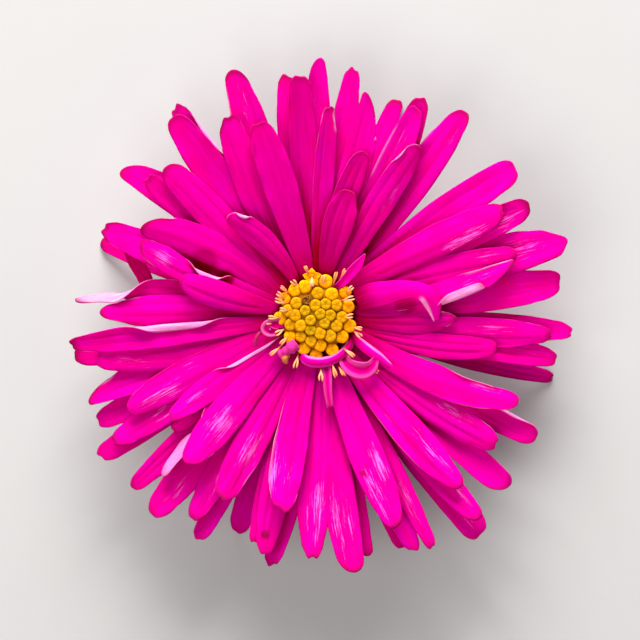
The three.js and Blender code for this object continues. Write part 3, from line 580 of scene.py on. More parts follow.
def ray_end(ray, index):
    """How far each column of the petal's end lies behind its tip, in mm."""
    if ray.name in ENDS:
        _, slant, deep = ENDS[ray.name]
        notch = deep * np.cos(ACROSS * 4)
    else:
        slant = mix(-0.25, 0.25, draw(index, 48))
        waves = mix(4.5, 7.5, draw(index, 45))
        notch = 0.13 * draw(index, 16) * np.cos((ACROSS - 0.5 * (draw(index, 17) - 0.5)) * waves)
    curve = 1.05 * (1 - np.sqrt(1 - (END_ROUND * ACROSS) ** 2))
    return (curve + notch * (1 - ACROSS ** 2) + slant * ACROSS) * (ray.width * STEP / 2)


def ray_shade(middle, ray, index):
    """Painted shade: deep by the disc, on low layers and in the hollows, and painted light where under 0.
    """
    radius = np.linalg.norm(middle[..., :2], axis=-1)
    shade = (0.9 - 0.11 * ray.layer) * (1 - smooth(3.6, 5.4 + 3.6 * draw(index, 18), radius))
    shade = shade + SHADE_BY_PETAL.get(ray.name, 0.15 if ray.name in LOW_RAYS else 0)
    shade = shade + 0.3 * (1 - smooth(4.5, 12.5, radius))
    shade = shade + 0.2 * (1 - smooth(0, 3.2, ray.layer)) * (1 - smooth(7, 15, radius))
    for x, y, size, amount in HOLLOWS:
        if ray.layer < HOLLOWS_BELOW:
            away = np.hypot(middle[..., 0] / STEP - x, middle[..., 1] / STEP - y)
            shade = np.maximum(shade, amount * (1 - smooth(size * 0.55, size, away)))
    return np.clip(shade, BRIGHTEST, 1)


def ray_tone(s, middle, ray, index):
    """Colour values of the top and the underside of a petal."""
    name = ray.name
    tone = np.zeros((2, *middle.shape[:2], 4))
    tone[..., SHADE] = ray_shade(middle, ray, index)
    tone[..., CHANCE] = draw(index, 19)
    tone[1, ..., PALE] = BLUSH.get(name, 1)
    if name not in MARGINS and name not in TURNED:
        tone[1, :, [0, -1], PALE] = 0.1
        tone[1, -1, :, PALE] = 0.1
    if name in RIMS:
        side, start, end, wide, strength = RIMS[name]
        rim = strength * between(start, start + 0.07, end - 0.05, end + 0.02, s)[:, None]
        rim = rim * smooth(1 - 1.2 * wide, 1 - 0.6 * wide, side * ACROSS)[None, :]
        tone[0, ..., PALE] = np.maximum(tone[0, ..., PALE], rim)
    tone[..., DRY_AND_EDGE_SHADE] = smooth(0.955, 1.0, s)[:, None] * mix(0.35, 1.0, draw(index, 50))
    # painted shade: both margins of every petal a little darker
    tone[:, :, [0, -1], DRY_AND_EDGE_SHADE] = 0.35
    for x, y, size, amount in BLEMISHES.get(name, []):
        away = np.hypot(middle[..., 0] - x * STEP, middle[..., 1] - y * STEP)
        tone[0, ..., DRY_AND_EDGE_SHADE] = np.maximum(tone[0, ..., DRY_AND_EDGE_SHADE], amount * (1 - smooth(size * 0.4, size, away)))
    return tone


# painted sheen: pale highlight streaks on the top face, in colour only
def ray_sheen(s, name):
    sheen = np.zeros((2, len(s), COLUMNS))
    for place, start, end, wide, strength in SHEENS.get(name, []):
        half_way = (start + end) / 2
        streak = strength * between(start, half_way, half_way, end + 0.04, s)
        sheen[0] += streak[:, None] * bell(ACROSS[None, :] - place, wide)
    return np.clip(sheen, 0, 1)


def petal(ray, index):
    """One petal: its middle surface, the length run at each row, its colour values and its painted sheen.
    """
    low = ray.name in LOW_RAYS
    s = 1 - (1 - np.linspace(0, 1, ROWS)) ** 1.2
    centres, length = ray_centres(s, ray, index)
    # the claw goes on inwards and down, under the rim of the disc
    inward = np.append(-unit(centres[0, :2]), 0)
    claw = centres[0] + CLAW[:, None] * STEP * inward
    claw[:, 2] -= CLAW_DROP * CLAW ** 2
    centres = np.vstack([claw, centres])
    claw_share = (1 - CLAW_TAPER * CLAW) * ray_width(np.zeros(1), ray.name, index)
    half = ray.width * STEP * np.concatenate([claw_share, ray_width(s, ray.name, index)]) / 2
    run = np.concatenate([-CLAW * STEP, s * length])
    s = np.concatenate([np.zeros(len(CLAW)), s])

    along, across, up = turned_frames(centres, s, ray, index)
    slope, growth = ray_slopes(s, ray, index)
    sideways, rise = across_points(growth * (half[:, None] * 2 / (COLUMNS - 1)), slope)
    lag = smooth(END_FROM, 1, s)[:, None] * ray_end(ray, index)[None, :]
    middle = grid(centres, across, up, sideways, rise + ray_folds(s, run, low, index))
    middle = middle - along[:, None, :] * lag[..., None]
    if low:
        middle[..., 2] = np.maximum(middle[..., 2], LOWEST)
    return middle, run, ray_tone(s, middle, ray, index), ray_sheen(s, ray.name)


# painted shade where a petal lies low between its neighbours, found from a map of their heights
CELL = 0.12  # mm, one cell of the height map
MAP_SIZE = 52  # mm, side of the height map
SPREAD = 0.75  # mm, how far a petal darkens what lies under its edge
SUNK = (0.05, 0.7)  # mm below the neighbours where the darkening starts and where it is full
SUNK_SHADE = 0.62  # its amount by the disc, and what is left of it farther out
SUNK_OUTER = 0.25
SUNK_FADE = (8, 17)  # mm from the axis between which it fades


class HeightMap:
    """Mean height of the petals round each place, to tell what lies low between its neighbours and gets
    painted shade.
    """

    def __init__(self, surfaces):
        self.size = int(MAP_SIZE / CELL)
        top = np.full((self.size, self.size), -1.0)
        for middle in surfaces:
            rows = np.linspace(0, len(middle) - 1, 4 * len(middle))
            low = np.minimum(rows.astype(int), len(middle) - 2)
            share = (rows - low)[:, None, None]
            fine = middle[low] * (1 - share) + middle[low + 1] * share
            np.maximum.at(top, self.cells(fine), fine[..., 2])
        filled = (top > 0).astype(float)
        self.mean = self.blur(top * filled) / np.maximum(self.blur(filled), 1e-3)

    def cells(self, points):
        """Row and column of the cell under each point."""
        cells = np.clip((points[..., :2] / CELL + self.size / 2).astype(int), 0, self.size - 1)
        return cells[..., 0], cells[..., 1]

    def blur(self, values):
        waves = np.exp(-2 * (math.pi * SPREAD / CELL * np.fft.fftfreq(self.size)) ** 2)
        return np.fft.ifft2(np.fft.fft2(values) * waves[:, None] * waves[None, :]).real

    def depth(self, points):
        """How far points lie below the mean height round them."""
        return self.mean[self.cells(points)] - points[..., 2]


# pieces of the petals, each with the layer that it ends below
WHORLS = [("rays_outer", 1.1), ("rays_middle", 2.9), ("rays_front", 6)]


def build_rays():
    heaps = {name: Heap() for name, _ in WHORLS}
    petals = [petal(ray, index) for index, ray in enumerate(RAYS)]
    heights = HeightMap([middle for middle, *_ in petals])
    thick = PETAL_THICK * (1 - 0.6 * ACROSS ** 2)
    for ray, (middle, run, tone, sheen) in zip(RAYS, petals):
        # painted shade where a petal lies low under its neighbours, less of it farther out
        painted_sunk_shade = smooth(*SUNK, heights.depth(middle)) * SUNK_SHADE
        painted_sunk_shade *= mix(1, SUNK_OUTER, smooth(*SUNK_FADE, np.linalg.norm(middle[..., :2], axis=-1)))
        tone[0, ..., SHADE] = np.clip(tone[0, ..., SHADE] + painted_sunk_shade, 0, 1)
        whorl = next(name for name, end in WHORLS if ray.layer < end)
        heaps[whorl].add_sheet(middle, thick, run / 20, 0.5 + ACROSS / 2, tone, sheen)
    for name, heap in heaps.items():
        heap.piece(name, "petal", "ray_florets")


def ribbon(heap, points, fold, rims, index, pale=(0, 1), rows=60, columns=17, deepening=0.0):
    """A narrow ray along a path: fold is the slope of each half, rims are pale right and left (some a
    painted glint).
    """
    path = spline([[x * STEP, y * STEP, z, width * STEP] for x, y, z, width in points], rows)
    centres = path[:, :3]
    half = np.maximum(path[:, 3], 0.05) / 2
    _, across, up = frames(centres)
    s = np.linspace(0, 1, rows)
    v = np.linspace(-1, 1, columns)
    cells = (v[1:] + v[:-1]) / 2
    slope = rad(fold) * np.tanh(cells / 0.25)[None, :] * (0.8 + 0.2 * np.sin(5 * s + index))[:, None]
    sideways, rise = across_points(1.2 * half[:, None] * 2 / (columns - 1), slope)
    middle = grid(centres, across, up, sideways, rise)
    tone = np.zeros((2, rows, columns, 4))
    # painted shade: deep at the root, and the young ray's own darkening all along
    tone[..., SHADE] = np.maximum(deepening, 0.9 * (1 - smooth(0, 0.3, s)))[None, :, None]
    tone[..., CHANCE] = draw(index, 19)
    rim = rims[0] * smooth(0.35, 0.7, -v) + rims[1] * smooth(0.35, 0.7, v)
    start, end = pale
    tone[0, ..., PALE] = between(start, start + 0.1, end - 0.1, end, s)[:, None] * rim[None, :]
    tone[1, ..., PALE] = 1
    tone[1, :, [0, -1], PALE] = 0.2
    heap.add_sheet(middle, RIBBON_THICK, s * 0.3, 0.5 + v / 5, tone)


def build_young():
    heap = Heap()
    for index, (name, fold, rims, points) in enumerate(YOUNG):
        ribbon(heap, points, fold, rims, index, deepening=DARKER_YOUNG.get(name, 0))
    ribbon(heap, BENT_RAY, -16, (1.0, 0), 9, pale=(0.62, 1.05), rows=80, columns=21)
    k = np.arange(20)
    wrinkled = 0.42 + 0.05 * np.sin(k * 1.1) + 0.05 * np.sin(k * 0.5 + 1) + 0.008 * k
    tube(heap, spline(placed(ROLLED_BUD), 22), [0.2, *wrinkled, 0.2], 14, (0.25, 0.12, 0.5, 0))
    knotty = 0.1 + 0.09 * abs(np.sin(np.arange(18) * 1.3))
    tube(heap, spline(placed(SHRIVELLED), 18), knotty, 8, (0.75, 0.1, 0.5, 0.3))
    heap.piece("rays_young", "petal", "ray_florets")


def build_tubes():
    """Slender tubes that carry the petals, in rings round the disc."""
    heap = Heap()
    for ring, (foot, low, high) in enumerate(TUBE_RINGS):
        for k in range(TUBES):
            angle = 2 * math.pi * (k + 0.5 * ring + 0.3 * draw(k, 60 + ring)) / TUBES
            way = np.array([math.cos(angle), math.sin(angle)])
            path = np.array([[*way * (foot + lean), z]
                             for lean, z in [(0, low), (0, 5.7), (0.04, high - 0.2), (0.1, high)]])
            # painted shade: the tubes take the full deep crimson of the recess round the disc
            tube(heap, path, TUBE_RADII, 8, (1, 0, draw(k, 63), 0))
    heap.piece("ray_tubes", "petal", "ray_florets")


def build_styles():
    """Forked style branches of the ray florets, and a withered one beside the rolled bud."""
    heap = Heap()
    low, high = STYLE_HEIGHTS
    for k, (x, y) in enumerate(STYLES):
        outward = unit(np.array([x, y, 0.0]))
        outward = unit(outward + 0.5 * (draw(k, 75) - 0.5) * np.array([-outward[1], outward[0], 0]))
        side = np.array([-outward[1], outward[0], 0])
        tip = np.array([x * STEP, y * STEP, high + 0.4 * draw(k, 70)])
        size = mix(0.75, 1.05, draw(k, 76))
        foot = tip - outward * STYLE_FOOT * size
        foot[2] = low
        fork = tip - outward * STYLE_FORK * size
        fork[2] = tip[2] - 0.25
        stem = spline([foot, (foot + fork) / 2, fork], len(STEM_RADII))
        tube(heap, stem, STEM_RADII, 8, (0.3, 0.35, draw(k, 72), 0))
        for arm in (-1, 1):
            spread = side * arm * mix(0.06, 0.15, draw(k, 73 + arm))
            end = tip + spread + outward * 0.16 * draw(k, 77 + arm)
            bend = fork + (end - fork) * 0.55 + spread * 0.5 + [0, 0, 0.08]
            branch = spline([fork, bend, end], len(BRANCH_RADII))
            tube(heap, branch, BRANCH_RADII, 9, (0, 0.9, draw(k, 74), 0))
    withered = spline(placed(WITHERED_STYLE), len(WITHERED_RADII))
    tube(heap, withered, WITHERED_RADII, 9, (0.9, 0.6, 0.2, 0))
    heap.piece("style_branches", "style", "ray_florets")


# ---- disc florets ----
Kind = namedtuple("Kind", "radius high dimple power age")
# radius, height over the dome, depth of the dimple, roundness, age (1 for young or old, 0 for ripe)
KINDS = {
    "ripe": Kind(0.61, 0.78, 0.02, 3.3, 0.05),
    "bud": Kind(0.57, 0.72, 0.05, 3.6, 0.74),
    "young": Kind(0.53, 0.66, 0.09, 3.8, 0.95),
    "withered": Kind(0.46, 0.72, 0.25, 2.2, 1.0),
    "open": Kind(0.42, 0.95, 0.0, 2.4, 0.0),
}
FLORET_AROUND, FLORET_RINGS = 36, 20
FLORET_FOOT = 0.7  # mm by which a floret goes on below the dome's surface
SHOULDER = 0.35  # share of the rings that stand below the widest one
DIMPLE_WIDTH = 0.42  # as a share of the floret's radius
LOBE_DEPTH = 0.05  # of the five grooves, and of the five-sided outline
GROOVES = (0.6, 0.85)  # shares of the rings between which the grooves start
# the dark outline is painted shade along the border between florets
OUTLINE = (0.02, 0.16)  # mm from the border with the next floret between which its dark outline ends
OUTLINE_SHADE = 0.78
FLARE = 0.22  # how far the florets lean outwards with their height
WRINKLE = 0.12  # of the withered floret
CROOKED = 0.03
FLORET_TOP = 0.03  # radius of the last ring, as a share of the floret's radius
# lobes of the open floret: height over the dome, mm outwards and up along a lobe, its half widths
LOBES_UP = 0.75
LOBE_PATH = [(0.2, 0), (0.5, 0.2), (0.86, 0.1)]
LOBE_HALF_WIDTHS = [0.24, 0.3, 0.32, 0.31, 0.27, 0.2, 0.11, 0.02]
LOBE_THICK = 0.07
BODY_LAP = 2 * math.pi / 6.3  # share of the texture that runs round a turned body
CREST = 0.3  # mm by which the dome between the florets stands over the core's height


def core_height(radius):
    return mix(CORE_TOP, CORE_RIM, (radius / CORE_RADIUS) ** 2)


def crowding(points, index):
    """How much nearer points are to floret index than to any other floret, in mm."""
    centres = np.array([bud[:2] for bud in BUDS]) * STEP
    away = np.linalg.norm(points[..., None, :] - centres, axis=-1)
    return np.delete(away, index, axis=-1).min(axis=-1) - away[..., index]


def floret_profile(share, kind):
    """Radius, as a share of the floret's own, and height over the dome at each share of the rings."""
    below = share / SHOULDER
    angle = (share - SHOULDER) / (1 - SHOULDER) * math.pi / 2
    cosine, sine = np.cos(np.maximum(angle, 0)), np.sin(np.maximum(angle, 0))
    radius = np.where(below < 1, 0.8 + 0.2 * below, cosine ** (2 / kind.power))
    radius[-1] = FLORET_TOP
    waist = kind.high / 2
    rounded = waist + waist * sine ** (2 / kind.power)
    return radius, np.where(below < 1, mix(-FLORET_FOOT, waist, below), rounded)


def floret(heap, x, y, name, index):
    """One floret bud on the dome; returns the height of the dome under it."""
    kind = KINDS[name]
    base = core_height(min(math.hypot(x, y) * STEP, CORE_RADIUS))
    theta = full_turn(FLORET_AROUND)
    ring = np.arange(FLORET_RINGS)[:, None]
    share = ring / (FLORET_RINGS - 1)
    radius, rise = floret_profile(share, kind)
    top = share > SHOULDER
    inward = 1 - np.abs(np.cos(2.5 * (theta - draw(index, 5) * 2 * math.pi)))
    groove = inward ** 3 * smooth(*GROOVES, share)
    reach = kind.radius * (0.95 + 0.12 * draw(index, 3)) * radius
    reach = reach * (1 - LOBE_DEPTH * inward * np.minimum(1, share * 2.2))
    height = base + rise - LOBE_DEPTH * groove - kind.dimple * bell(radius, DIMPLE_WIDTH) * top
    if name == "withered":
        reach = reach + CROOKED * np.sin(theta * 7 + ring)
        height = height + WRINKLE * np.sin(theta * 3 + ring) * share
    spread = (1 + FLARE * (rise + FLORET_FOOT) / CORE_RADIUS)[..., None]
    way = np.stack([np.cos(theta), np.sin(theta)], axis=-1)
    flat = np.array([x, y]) * STEP * spread + way * reach[..., None]
    outline = OUTLINE_SHADE * (1 - smooth(*OUTLINE, crowding(flat / spread, index)))
    tone = np.zeros((*reach.shape, 4))
    tone[..., AGE] = kind.age
    # painted shade in the five grooves, on the foot below the shoulder and along the border with the next
    # floret
    tone[..., GAP] = groove * 0.45 + np.maximum(0.9 * (1 - smooth(0.2, 0.52, share)), outline)
    tone[..., CHANCE] = draw(index, 6)
    tone[..., DIMPLE] = bell(radius, 0.3) * top
    heap.add_rings(np.dstack([flat, height]), share[:, 0], np.clip(tone, 0, 1))
    return base


def open_lobes(heap, x, y, base, index):
    """Five pointed lobes of an open floret, bent outwards."""
    centre = np.array([x * STEP, y * STEP, base + LOBES_UP])
    half = np.array(LOBE_HALF_WIDTHS)[:, None]
    v = np.linspace(-1, 1, 7)
    for k in range(5):
        angle = rad(72 * k + 20)
        way = np.array([math.cos(angle), math.sin(angle), 0])
        path = spline([centre + way * out + [0, 0, lift] for out, lift in LOBE_PATH], len(half))
        _, across, up = frames(path)
        middle = grid(path, across, up, half * v, 0.25 * half * v ** 2)
        tone = (0, 0, draw(index, 80 + k), 0)
        heap.add_sheet(middle, LOBE_THICK, np.zeros(len(half)), np.zeros(len(v)), tone)


def turned_body(heap, profile, along, tone, around):
    """A body turned about the z axis, from the radius and the height of each ring."""
    theta = full_turn(around)
    rings = [[r * np.cos(theta), r * np.sin(theta), np.full(around, z)] for r, z in profile]
    heap.add_rings(np.swapaxes(rings, 1, 2), along, tone, BODY_LAP)


def build_disc():
    buds = Heap()
    for index, (x, y, kind) in enumerate(BUDS):
        base = floret(buds, x, y, kind, index)
        if kind == "open":
            open_lobes(buds, x, y, base, index)
    buds.piece("disc_buds", "disc", "disc_florets")

    core = Heap()
    profile = [(CORE_RADIUS, z) for z in np.linspace(CORE_FOOT, CORE_RIM - 0.35, 4)]
    for r in CORE_RADIUS * np.cos(np.arange(14) / 13 * math.pi / 2 * 0.995):
        profile.append((r, core_height(r) + CREST))
    # painted shade: the dome between the florets takes the full dark colour of the gaps
    turned_body(core, profile, np.zeros(len(profile)), (0.3, 1, 0.5, 0), 64)
    core.piece("disc_core", "disc", "disc_florets")

    stigma = Heap()
    x, y, _ = BUDS[0]
    centre = np.array([x * STEP, y * STEP, core_height(CORE_RADIUS) + 0.9])
    for side in (-1, 1):
        end = centre + [side * 0.1, -0.85, 0.5]
        arm = spline([centre - [0, 0, 0.3], centre + [side * 0.04, -0.3, 0.45], end], len(STIGMA_RADII))
        tube(stigma, arm, STIGMA_RADII, 10, (0, 0.9, 0.9, 0))
    stigma.piece("disc_stigma", "style", "disc_florets")


# ---- involucre ----
# bracts: count, height of foot and tip, reach of the tip, width, turn of the series in degrees
BRACT_SERIES = [(13, 1.0, 3.1, 4.35, 1.35, 0), (14, 1.9, 4.1, 4.95, 1.3, 9), (15, 2.7, 4.75, 5.15, 1.2, 4)]
BRACT_ROWS, BRACT_COLUMNS = 26, 13
BRACT_THICK = 0.16
CUP_AROUND = 72
CUP_RIB = 0.02  # depth of the nine ribs at the foot of the cup, as a share of its radius


def cup_radius(z):
    return mix(1.7, CUP_RADIUS, np.clip((z - 0.6) / 3.9, 0, 1) ** 0.6)


def bract(heap, angle, foot, tip, reach, width, index):
    """One bract: pressed to the cup at its foot and flared at its tip, with a keel."""
    way = (math.cos(angle), math.sin(angle))
    middle_z = mix(foot, tip, 0.55)
    marks = [(cup_radius(foot) - 0.1, foot), (cup_radius(middle_z) + 0.06, middle_z),
             (mix(cup_radius(tip), reach, 0.55) + 0.08, mix(foot, tip, 0.88)),
             (reach + (draw(index, 6) - 0.5) * 0.5, tip)]
    path = spline([[way[0] * r, way[1] * r, z] for r, z in marks], BRACT_ROWS)
    _, across, up = frames(path)
    s = np.linspace(0, 1, BRACT_ROWS)
    v = np.linspace(-1, 1, BRACT_COLUMNS)
    rounding = 1.08 * np.sqrt(np.clip(1 - s ** 3.2, 0.004, 1))
    half = (width / 2 * np.minimum(mix(0.8, 1.05, smooth(0, 0.45, s)), rounding))[:, None]
    keel = 0.05 * bell(v, 0.14) * (1 - s ** 4)[:, None]
    middle = grid(path, across, up, half * v, 0.2 * half * v ** 2 - keel)
    tone = np.zeros((BRACT_ROWS, BRACT_COLUMNS, 4))
    tone[..., LEAFY] = (0.15 + 0.85 * smooth(0.35, 0.95, s))[:, None]
    tone[..., CHANCE] = draw(index, 90)
    heap.add_sheet(middle, BRACT_THICK * (1 - 0.5 * v ** 2), s * 0.4, 0.5 + v / 2, tone)


def build_involucre():
    cup = Heap()
    cut = [(0.02, 0.012), (0.5, 0.01), (1.0, 0.012), (STALK_RADIUS - 0.06, 0.0)]
    wall = [(float(cup_radius(z)), z) for z in np.linspace(0.75, 4.6, 14)]
    foot = [(STALK_RADIUS, 0.05), (STALK_RADIUS, 0.3), (STALK_RADIUS + 0.05, 0.55), *wall[:3]]
    ribs = 1 + CUP_RIB * np.cos(full_turn(CUP_AROUND) * 9)
    rim = [(CUP_RADIUS, CUP_TOP - 0.15), (CUP_RADIUS - 0.2, CUP_TOP), (2.5, CUP_TOP), (0.02, CUP_TOP)]
    profile = cut + [(r * ribs, z) for r, z in foot] + wall[3:] + rim
    tone = np.tile([0.3, 0, 0.5, 0], (len(profile), 1, 1))
    for k, (r, _) in enumerate(cut):
        tone[k, :, [CUT, OUTWARD]] = [[1], [r / STALK_RADIUS]]
    turned_body(cup, profile, np.array([z for _, z in profile]) / 5, tone, CUP_AROUND)
    cup.piece("green_cup", "green", "involucre")

    leaves = Heap()
    for series, (count, foot, tip, reach, width, turn) in enumerate(BRACT_SERIES):
        for k in range(count):
            index = series * 20 + k
            angle = rad(turn + 360 * k / count + (draw(index, 7) - 0.5) * 6)
            bract(leaves, angle, foot, tip, reach, width, index)
    leaves.piece("bracts", "green", "involucre")


# ---- materials ----
class Nodes:
    """A material and short ways to make its shader nodes."""

    def __init__(self, name):
        self.material = bpy.data.materials.new(name)
        self.material.use_nodes = True
        self.tree = self.material.node_tree
        self.shader = self.tree.nodes["Principled BSDF"]

    def put(self, kind, settings=None, **inputs):
        node = self.tree.nodes.new(kind)
        for key, value in (settings or {}).items():
            setattr(node, key, value)
        self.feed(node, inputs)
        return node

    def feed(self, node, inputs):
        """Sets or links the node's sockets, by their names or by their places in the list."""
        for key, value in inputs.items():
            socket = node.inputs[key if isinstance(key, int) else key.replace("_", " ")]
            if isinstance(value, bpy.types.NodeSocket):
                self.tree.links.new(value, socket)
            else:
                socket.default_value = value

    def maths(self, operation, *values):
        node = self.put("ShaderNodeMath", {"operation": operation})
        self.feed(node, dict(enumerate(values)))
        return node.outputs[0]

    def times(self, a, b):
        return self.maths("MULTIPLY", a, b)

    def colour(self, share, a, b, blend="MIX"):
        """Colour a, with a share of colour b over it."""
        node = self.put("ShaderNodeMix", {"data_type": "RGBA", "blend_type": blend, "clamp_factor": True})
        a, b = ((*value, 1) if isinstance(value, tuple) else value for value in (a, b))
        self.feed(node, {0: share, 6: a, 7: b})
        return node.outputs[2]

    def tone(self):
        """The four colour values of the mesh."""
        attribute = self.put("ShaderNodeAttribute", {"attribute_name": "tone"})
        split = self.put("ShaderNodeSeparateColor", Color=attribute.outputs["Color"])
        return (*split.outputs, attribute.outputs["Alpha"])

    def sheen(self):
        return self.put("ShaderNodeAttribute", {"attribute_name": "sheen"}).outputs["Fac"]

    def lay(self):
        uv = self.put("ShaderNodeUVMap", {"uv_map": "lay"})
        return self.put("ShaderNodeSeparateXYZ", Vector=uv.outputs[0]).outputs[:2]

    def noise(self, vector, scale, detail, rough):
        node = self.put("ShaderNodeTexNoise", Vector=vector, Scale=scale, Detail=detail, Roughness=rough)
        return node.outputs[0]

    def place_noise(self, scale, detail):
        """Noise in the object's own space, alike in all directions."""
        return self.noise(self.put("ShaderNodeTexCoord").outputs["Object"], scale, detail, 0.6)

    def lay_noise(self, lay, along, across, seed, detail, rough):
        """Noise stretched over the lay, with so many spots along it and across it."""
        x, y = self.times(lay[0], along), self.times(lay[1], across)
        return self.noise(self.put("ShaderNodeCombineXYZ", X=x, Y=y, Z=seed).outputs[0], 1.0, detail, rough)

    def ramp(self, value, low, high):
        node = self.put("ShaderNodeMapRange", {"interpolation_type": "SMOOTHSTEP", "clamp": True})
        self.feed(node, dict(enumerate((value, low, high, 0.0, 1.0))))
        return node.outputs[0]

    def bump(self, height, strength, distance):
        return self.put("ShaderNodeBump", Strength=strength, Distance=distance, Height=height).outputs[0]

    def surface(self, **inputs):
        self.feed(self.shader, inputs)
        return self.material


def petal_material():
    m = Nodes("petal")
    shade, pale, chance, dry_and_edge_shade = m.tone()
    lay = m.lay()
    seed = m.times(chance, 37)
    # fine rows of cells along the petal, a few darker veins and slow clouds
    rows = m.lay_noise(lay, 9, 34, seed, 3, 0.6)
    veins = m.lay_noise(lay, 1.6, 9, seed, 2, 0.5)
    cells = m.lay_noise(lay, 150, 60, seed, 2, 0.6)
    clouds = m.lay_noise(lay, 5, 1.5, seed, 2, 0.5)
    top = m.colour(chance, (0.61, 0, 0.23), (0.62, 0, 0.305))
    top = m.colour(m.ramp(clouds, 0.35, 0.7), top, (0.62, 0, 0.2))
    top = m.colour(m.times(m.ramp(veins, 0.5, 0.78), 0.6), top, (0.56, 0, 0.11))
    top = m.colour(m.times(m.ramp(rows, 0.45, 0.8), 0.6), top, (0.67, 0, 0.4))
    # painted shade: deep crimson where the shade value is high
    top = m.colour(shade, top, m.colour(m.ramp(rows, 0.3, 0.7), (0.17, 0, 0.004), (0.32, 0, 0.022)))
    underside = m.colour(m.ramp(rows, 0.3, 0.7), (0.72, 0.15, 0.42), (0.84, 0.28, 0.56))
    # dry tips and spots, and painted shade on the margins, in dark crimson
    skin = m.colour(m.times(dry_and_edge_shade, 0.85), m.colour(pale, top, underside), (0.19, 0.003, 0.02))
    # painted sheen: pale highlight streaks towards the tips, in colour only
    sheen = m.sheen()
    streaks = m.lay_noise(lay, 9, 24, seed, 3, 0.75)
    painted_sheen = m.ramp(m.maths("ADD", streaks, m.times(sheen, 0.26)), 0.64, 0.82)
    painted_sheen = m.times(m.times(painted_sheen, m.ramp(sheen, 0.02, 0.3)), 0.7)
    height = m.maths("ADD", m.times(rows, 0.7), m.times(cells, 0.5))
    return m.surface(
        Base_Color=m.colour(painted_sheen, skin, (0.95, 0.19, 0.76)),
        Roughness=m.maths("MULTIPLY_ADD", cells, 0.2, 0.3),
        Specular_IOR_Level=0,
        Subsurface_Weight=0.2,
        Subsurface_Radius=(1, 0.12, 0.35),
        Subsurface_Scale=0.001,
        Normal=m.bump(height, 0.5, 0.00011),
    )


def disc_material():
    m = Nodes("disc")
    age, gap, chance, dimple = m.tone()
    grain = m.place_noise(9000, 3)
    ripe = m.colour(chance, (0.8, 0.27, 0.001), (0.82, 0.355, 0.002))
    young = m.colour(chance, (0.34, 0.22, 0.002), (0.42, 0.25, 0.003))
    body = m.colour(m.times(dimple, 0.5), m.colour(age, ripe, young), (0.3, 0.14, 0.004))
    body = m.colour(m.ramp(grain, 0.3, 0.8), body, (0.95, 0.55, 0.03), "SOFT_LIGHT")
    body = m.colour(m.ramp(age, 0.96, 1), body, (0.22, 0.08, 0.01))
    # painted shade: dark brown in the gaps, grooves and feet of the florets
    return m.surface(
        Base_Color=m.colour(m.times(gap, 0.85), body, (0.26, 0.09, 0.002)),
        Roughness=m.maths("MULTIPLY_ADD", grain, 0.25, 0.42),
        Specular_IOR_Level=0.06,
        Specular_Tint=(1, 0.75, 0.3, 1),
        Subsurface_Weight=0.2,
        Subsurface_Radius=(1, 0.5, 0.05),
        Subsurface_Scale=0.0006,
        Normal=m.bump(grain, 0.35, 0.00006),
    )


def style_material():
    m = Nodes("style")
    wear, tip, chance, _ = m.tone()
    grain = m.place_noise(14000, 2)
    cream = m.colour(chance, (0.74, 0.23, 0.09), (0.82, 0.36, 0.18))
    skin = m.colour(tip, (0.55, 0.03, 0.04), cream)
    skin = m.colour(m.times(wear, 0.8), skin, (0.3, 0.1, 0.01))
    return m.surface(
        Base_Color=m.colour(m.ramp(grain, 0.4, 0.7), skin, (0.95, 0.7, 0.45), "SOFT_LIGHT"),
        Roughness=m.maths("MULTIPLY_ADD", grain, 0.2, 0.45),
        Specular_IOR_Level=0.25,
        Normal=m.bump(grain, 0.4, 0.00004),
    )


def green_material():
    m = Nodes("green")
    leafy, cut, chance, outward = m.tone()
    lines = m.lay_noise(m.lay(), 6, 26, m.times(chance, 21), 3, 0.6)
    spots = m.place_noise(3500, 3)
    pale = m.colour(m.ramp(lines, 0.3, 0.7), (0.4, 0.48, 0.14), (0.26, 0.36, 0.08))
    tip = m.colour(m.ramp(spots, 0.35, 0.7), (0.075, 0.16, 0.025), (0.13, 0.24, 0.045))
    flesh = m.colour(m.ramp(outward, 0.45, 0.9), (0.72, 0.76, 0.46), (0.36, 0.46, 0.14))
    return m.surface(
        Base_Color=m.colour(cut, m.colour(leafy, pale, tip), flesh),
        Roughness=m.maths("MULTIPLY_ADD", lines, 0.3, 0.45),
        Normal=m.bump(m.maths("ADD", lines, spots), 0.4, 0.00008),
    )


def floor_material():
    m = Nodes("floor")
    grain = m.place_noise(60, 4)
    return m.surface(
        Base_Color=m.colour(grain, (0.41, 0.41, 0.41), (0.44, 0.44, 0.44)),
        Roughness=0.85,
        Specular_IOR_Level=0.1,
    )


LOOKS = {
    "petal": (petal_material(), "ray_petal"),
    "disc": (disc_material(), "disc_floret"),
    "style": (style_material(), "disc_floret"),
    "green": (green_material(), "green_bract"),
}
build_rays()
build_young()
build_tubes()
build_styles()
build_disc()
build_involucre()


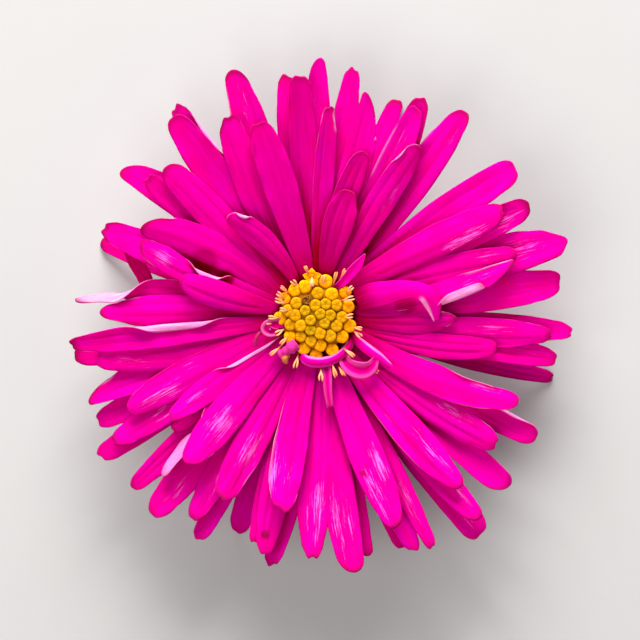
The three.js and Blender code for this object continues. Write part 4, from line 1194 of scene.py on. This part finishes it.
# ---- floor, light, camera: metres ----
FLOOR_HALF = 1.5
LIGHT_TARGET = (0, 0, 0.008)
CAMERA_DISTANCE = 0.6  # over the light's target
SENSOR = 36  # mm
VIEW_STEPS = 640  # width of the view, in steps
VIEW_CENTRE = (4, -5)  # middle of the view, in steps from the disc's axis


def place_floor():
    corners = [(x * FLOOR_HALF, y * FLOOR_HALF, 0) for x, y in ((-1, -1), (1, -1), (1, 1), (-1, 1))]
    mesh = bpy.data.meshes.new("floor")
    mesh.from_pydata(corners, [], [(0, 1, 2, 3)])
    mesh.materials.append(floor_material())
    floor = linked("floor", mesh)


def area_light(name, place, size, power, colour):
    data = bpy.data.lights.new(name, "AREA")
    data.shape = "DISK"
    data.size = size
    data.energy = power
    data.color = colour
    lamp = linked(name, data)
    lamp.location = place
    x, y, z = np.array(LIGHT_TARGET) - np.array(place)
    lamp.rotation_euler = (math.atan2(math.hypot(x, y), -z), 0, math.atan2(x, -y) + math.pi)


def place_camera():
    lens = bpy.data.cameras.new("camera")
    lens.sensor_width = SENSOR
    lens.lens = SENSOR * CAMERA_DISTANCE / (VIEW_STEPS * STEP / 1000)
    lens.clip_start = 0.01
    camera = linked("camera", lens)
    x, y = VIEW_CENTRE
    camera.location = (x * STEP / 1000, y * STEP / 1000, LIGHT_TARGET[2] + CAMERA_DISTANCE)
    bpy.context.scene.camera = camera


def set_world(colour, strength):
    world = bpy.data.worlds.new("studio")
    world.use_nodes = True
    background = world.node_tree.nodes["Background"]
    background.inputs["Color"].default_value = (*colour, 1)
    background.inputs["Strength"].default_value = strength
    bpy.context.scene.world = world


place_floor()
# a low key light from +Y, and a wide soft fill from -X and -Y
area_light("key", (-0.02, 0.455, 0.213), 0.4, 8.2, (1.0, 0.98, 0.96))
area_light("fill", (-0.2, -0.2, 0.5), 0.5, 2.6, (1.0, 0.97, 0.95))
set_world((1.0, 0.97, 0.95), 0.18)
place_camera()
bpy.context.scene.view_settings.view_transform = "Standard"
bpy.context.scene.view_settings.exposure = 0.0
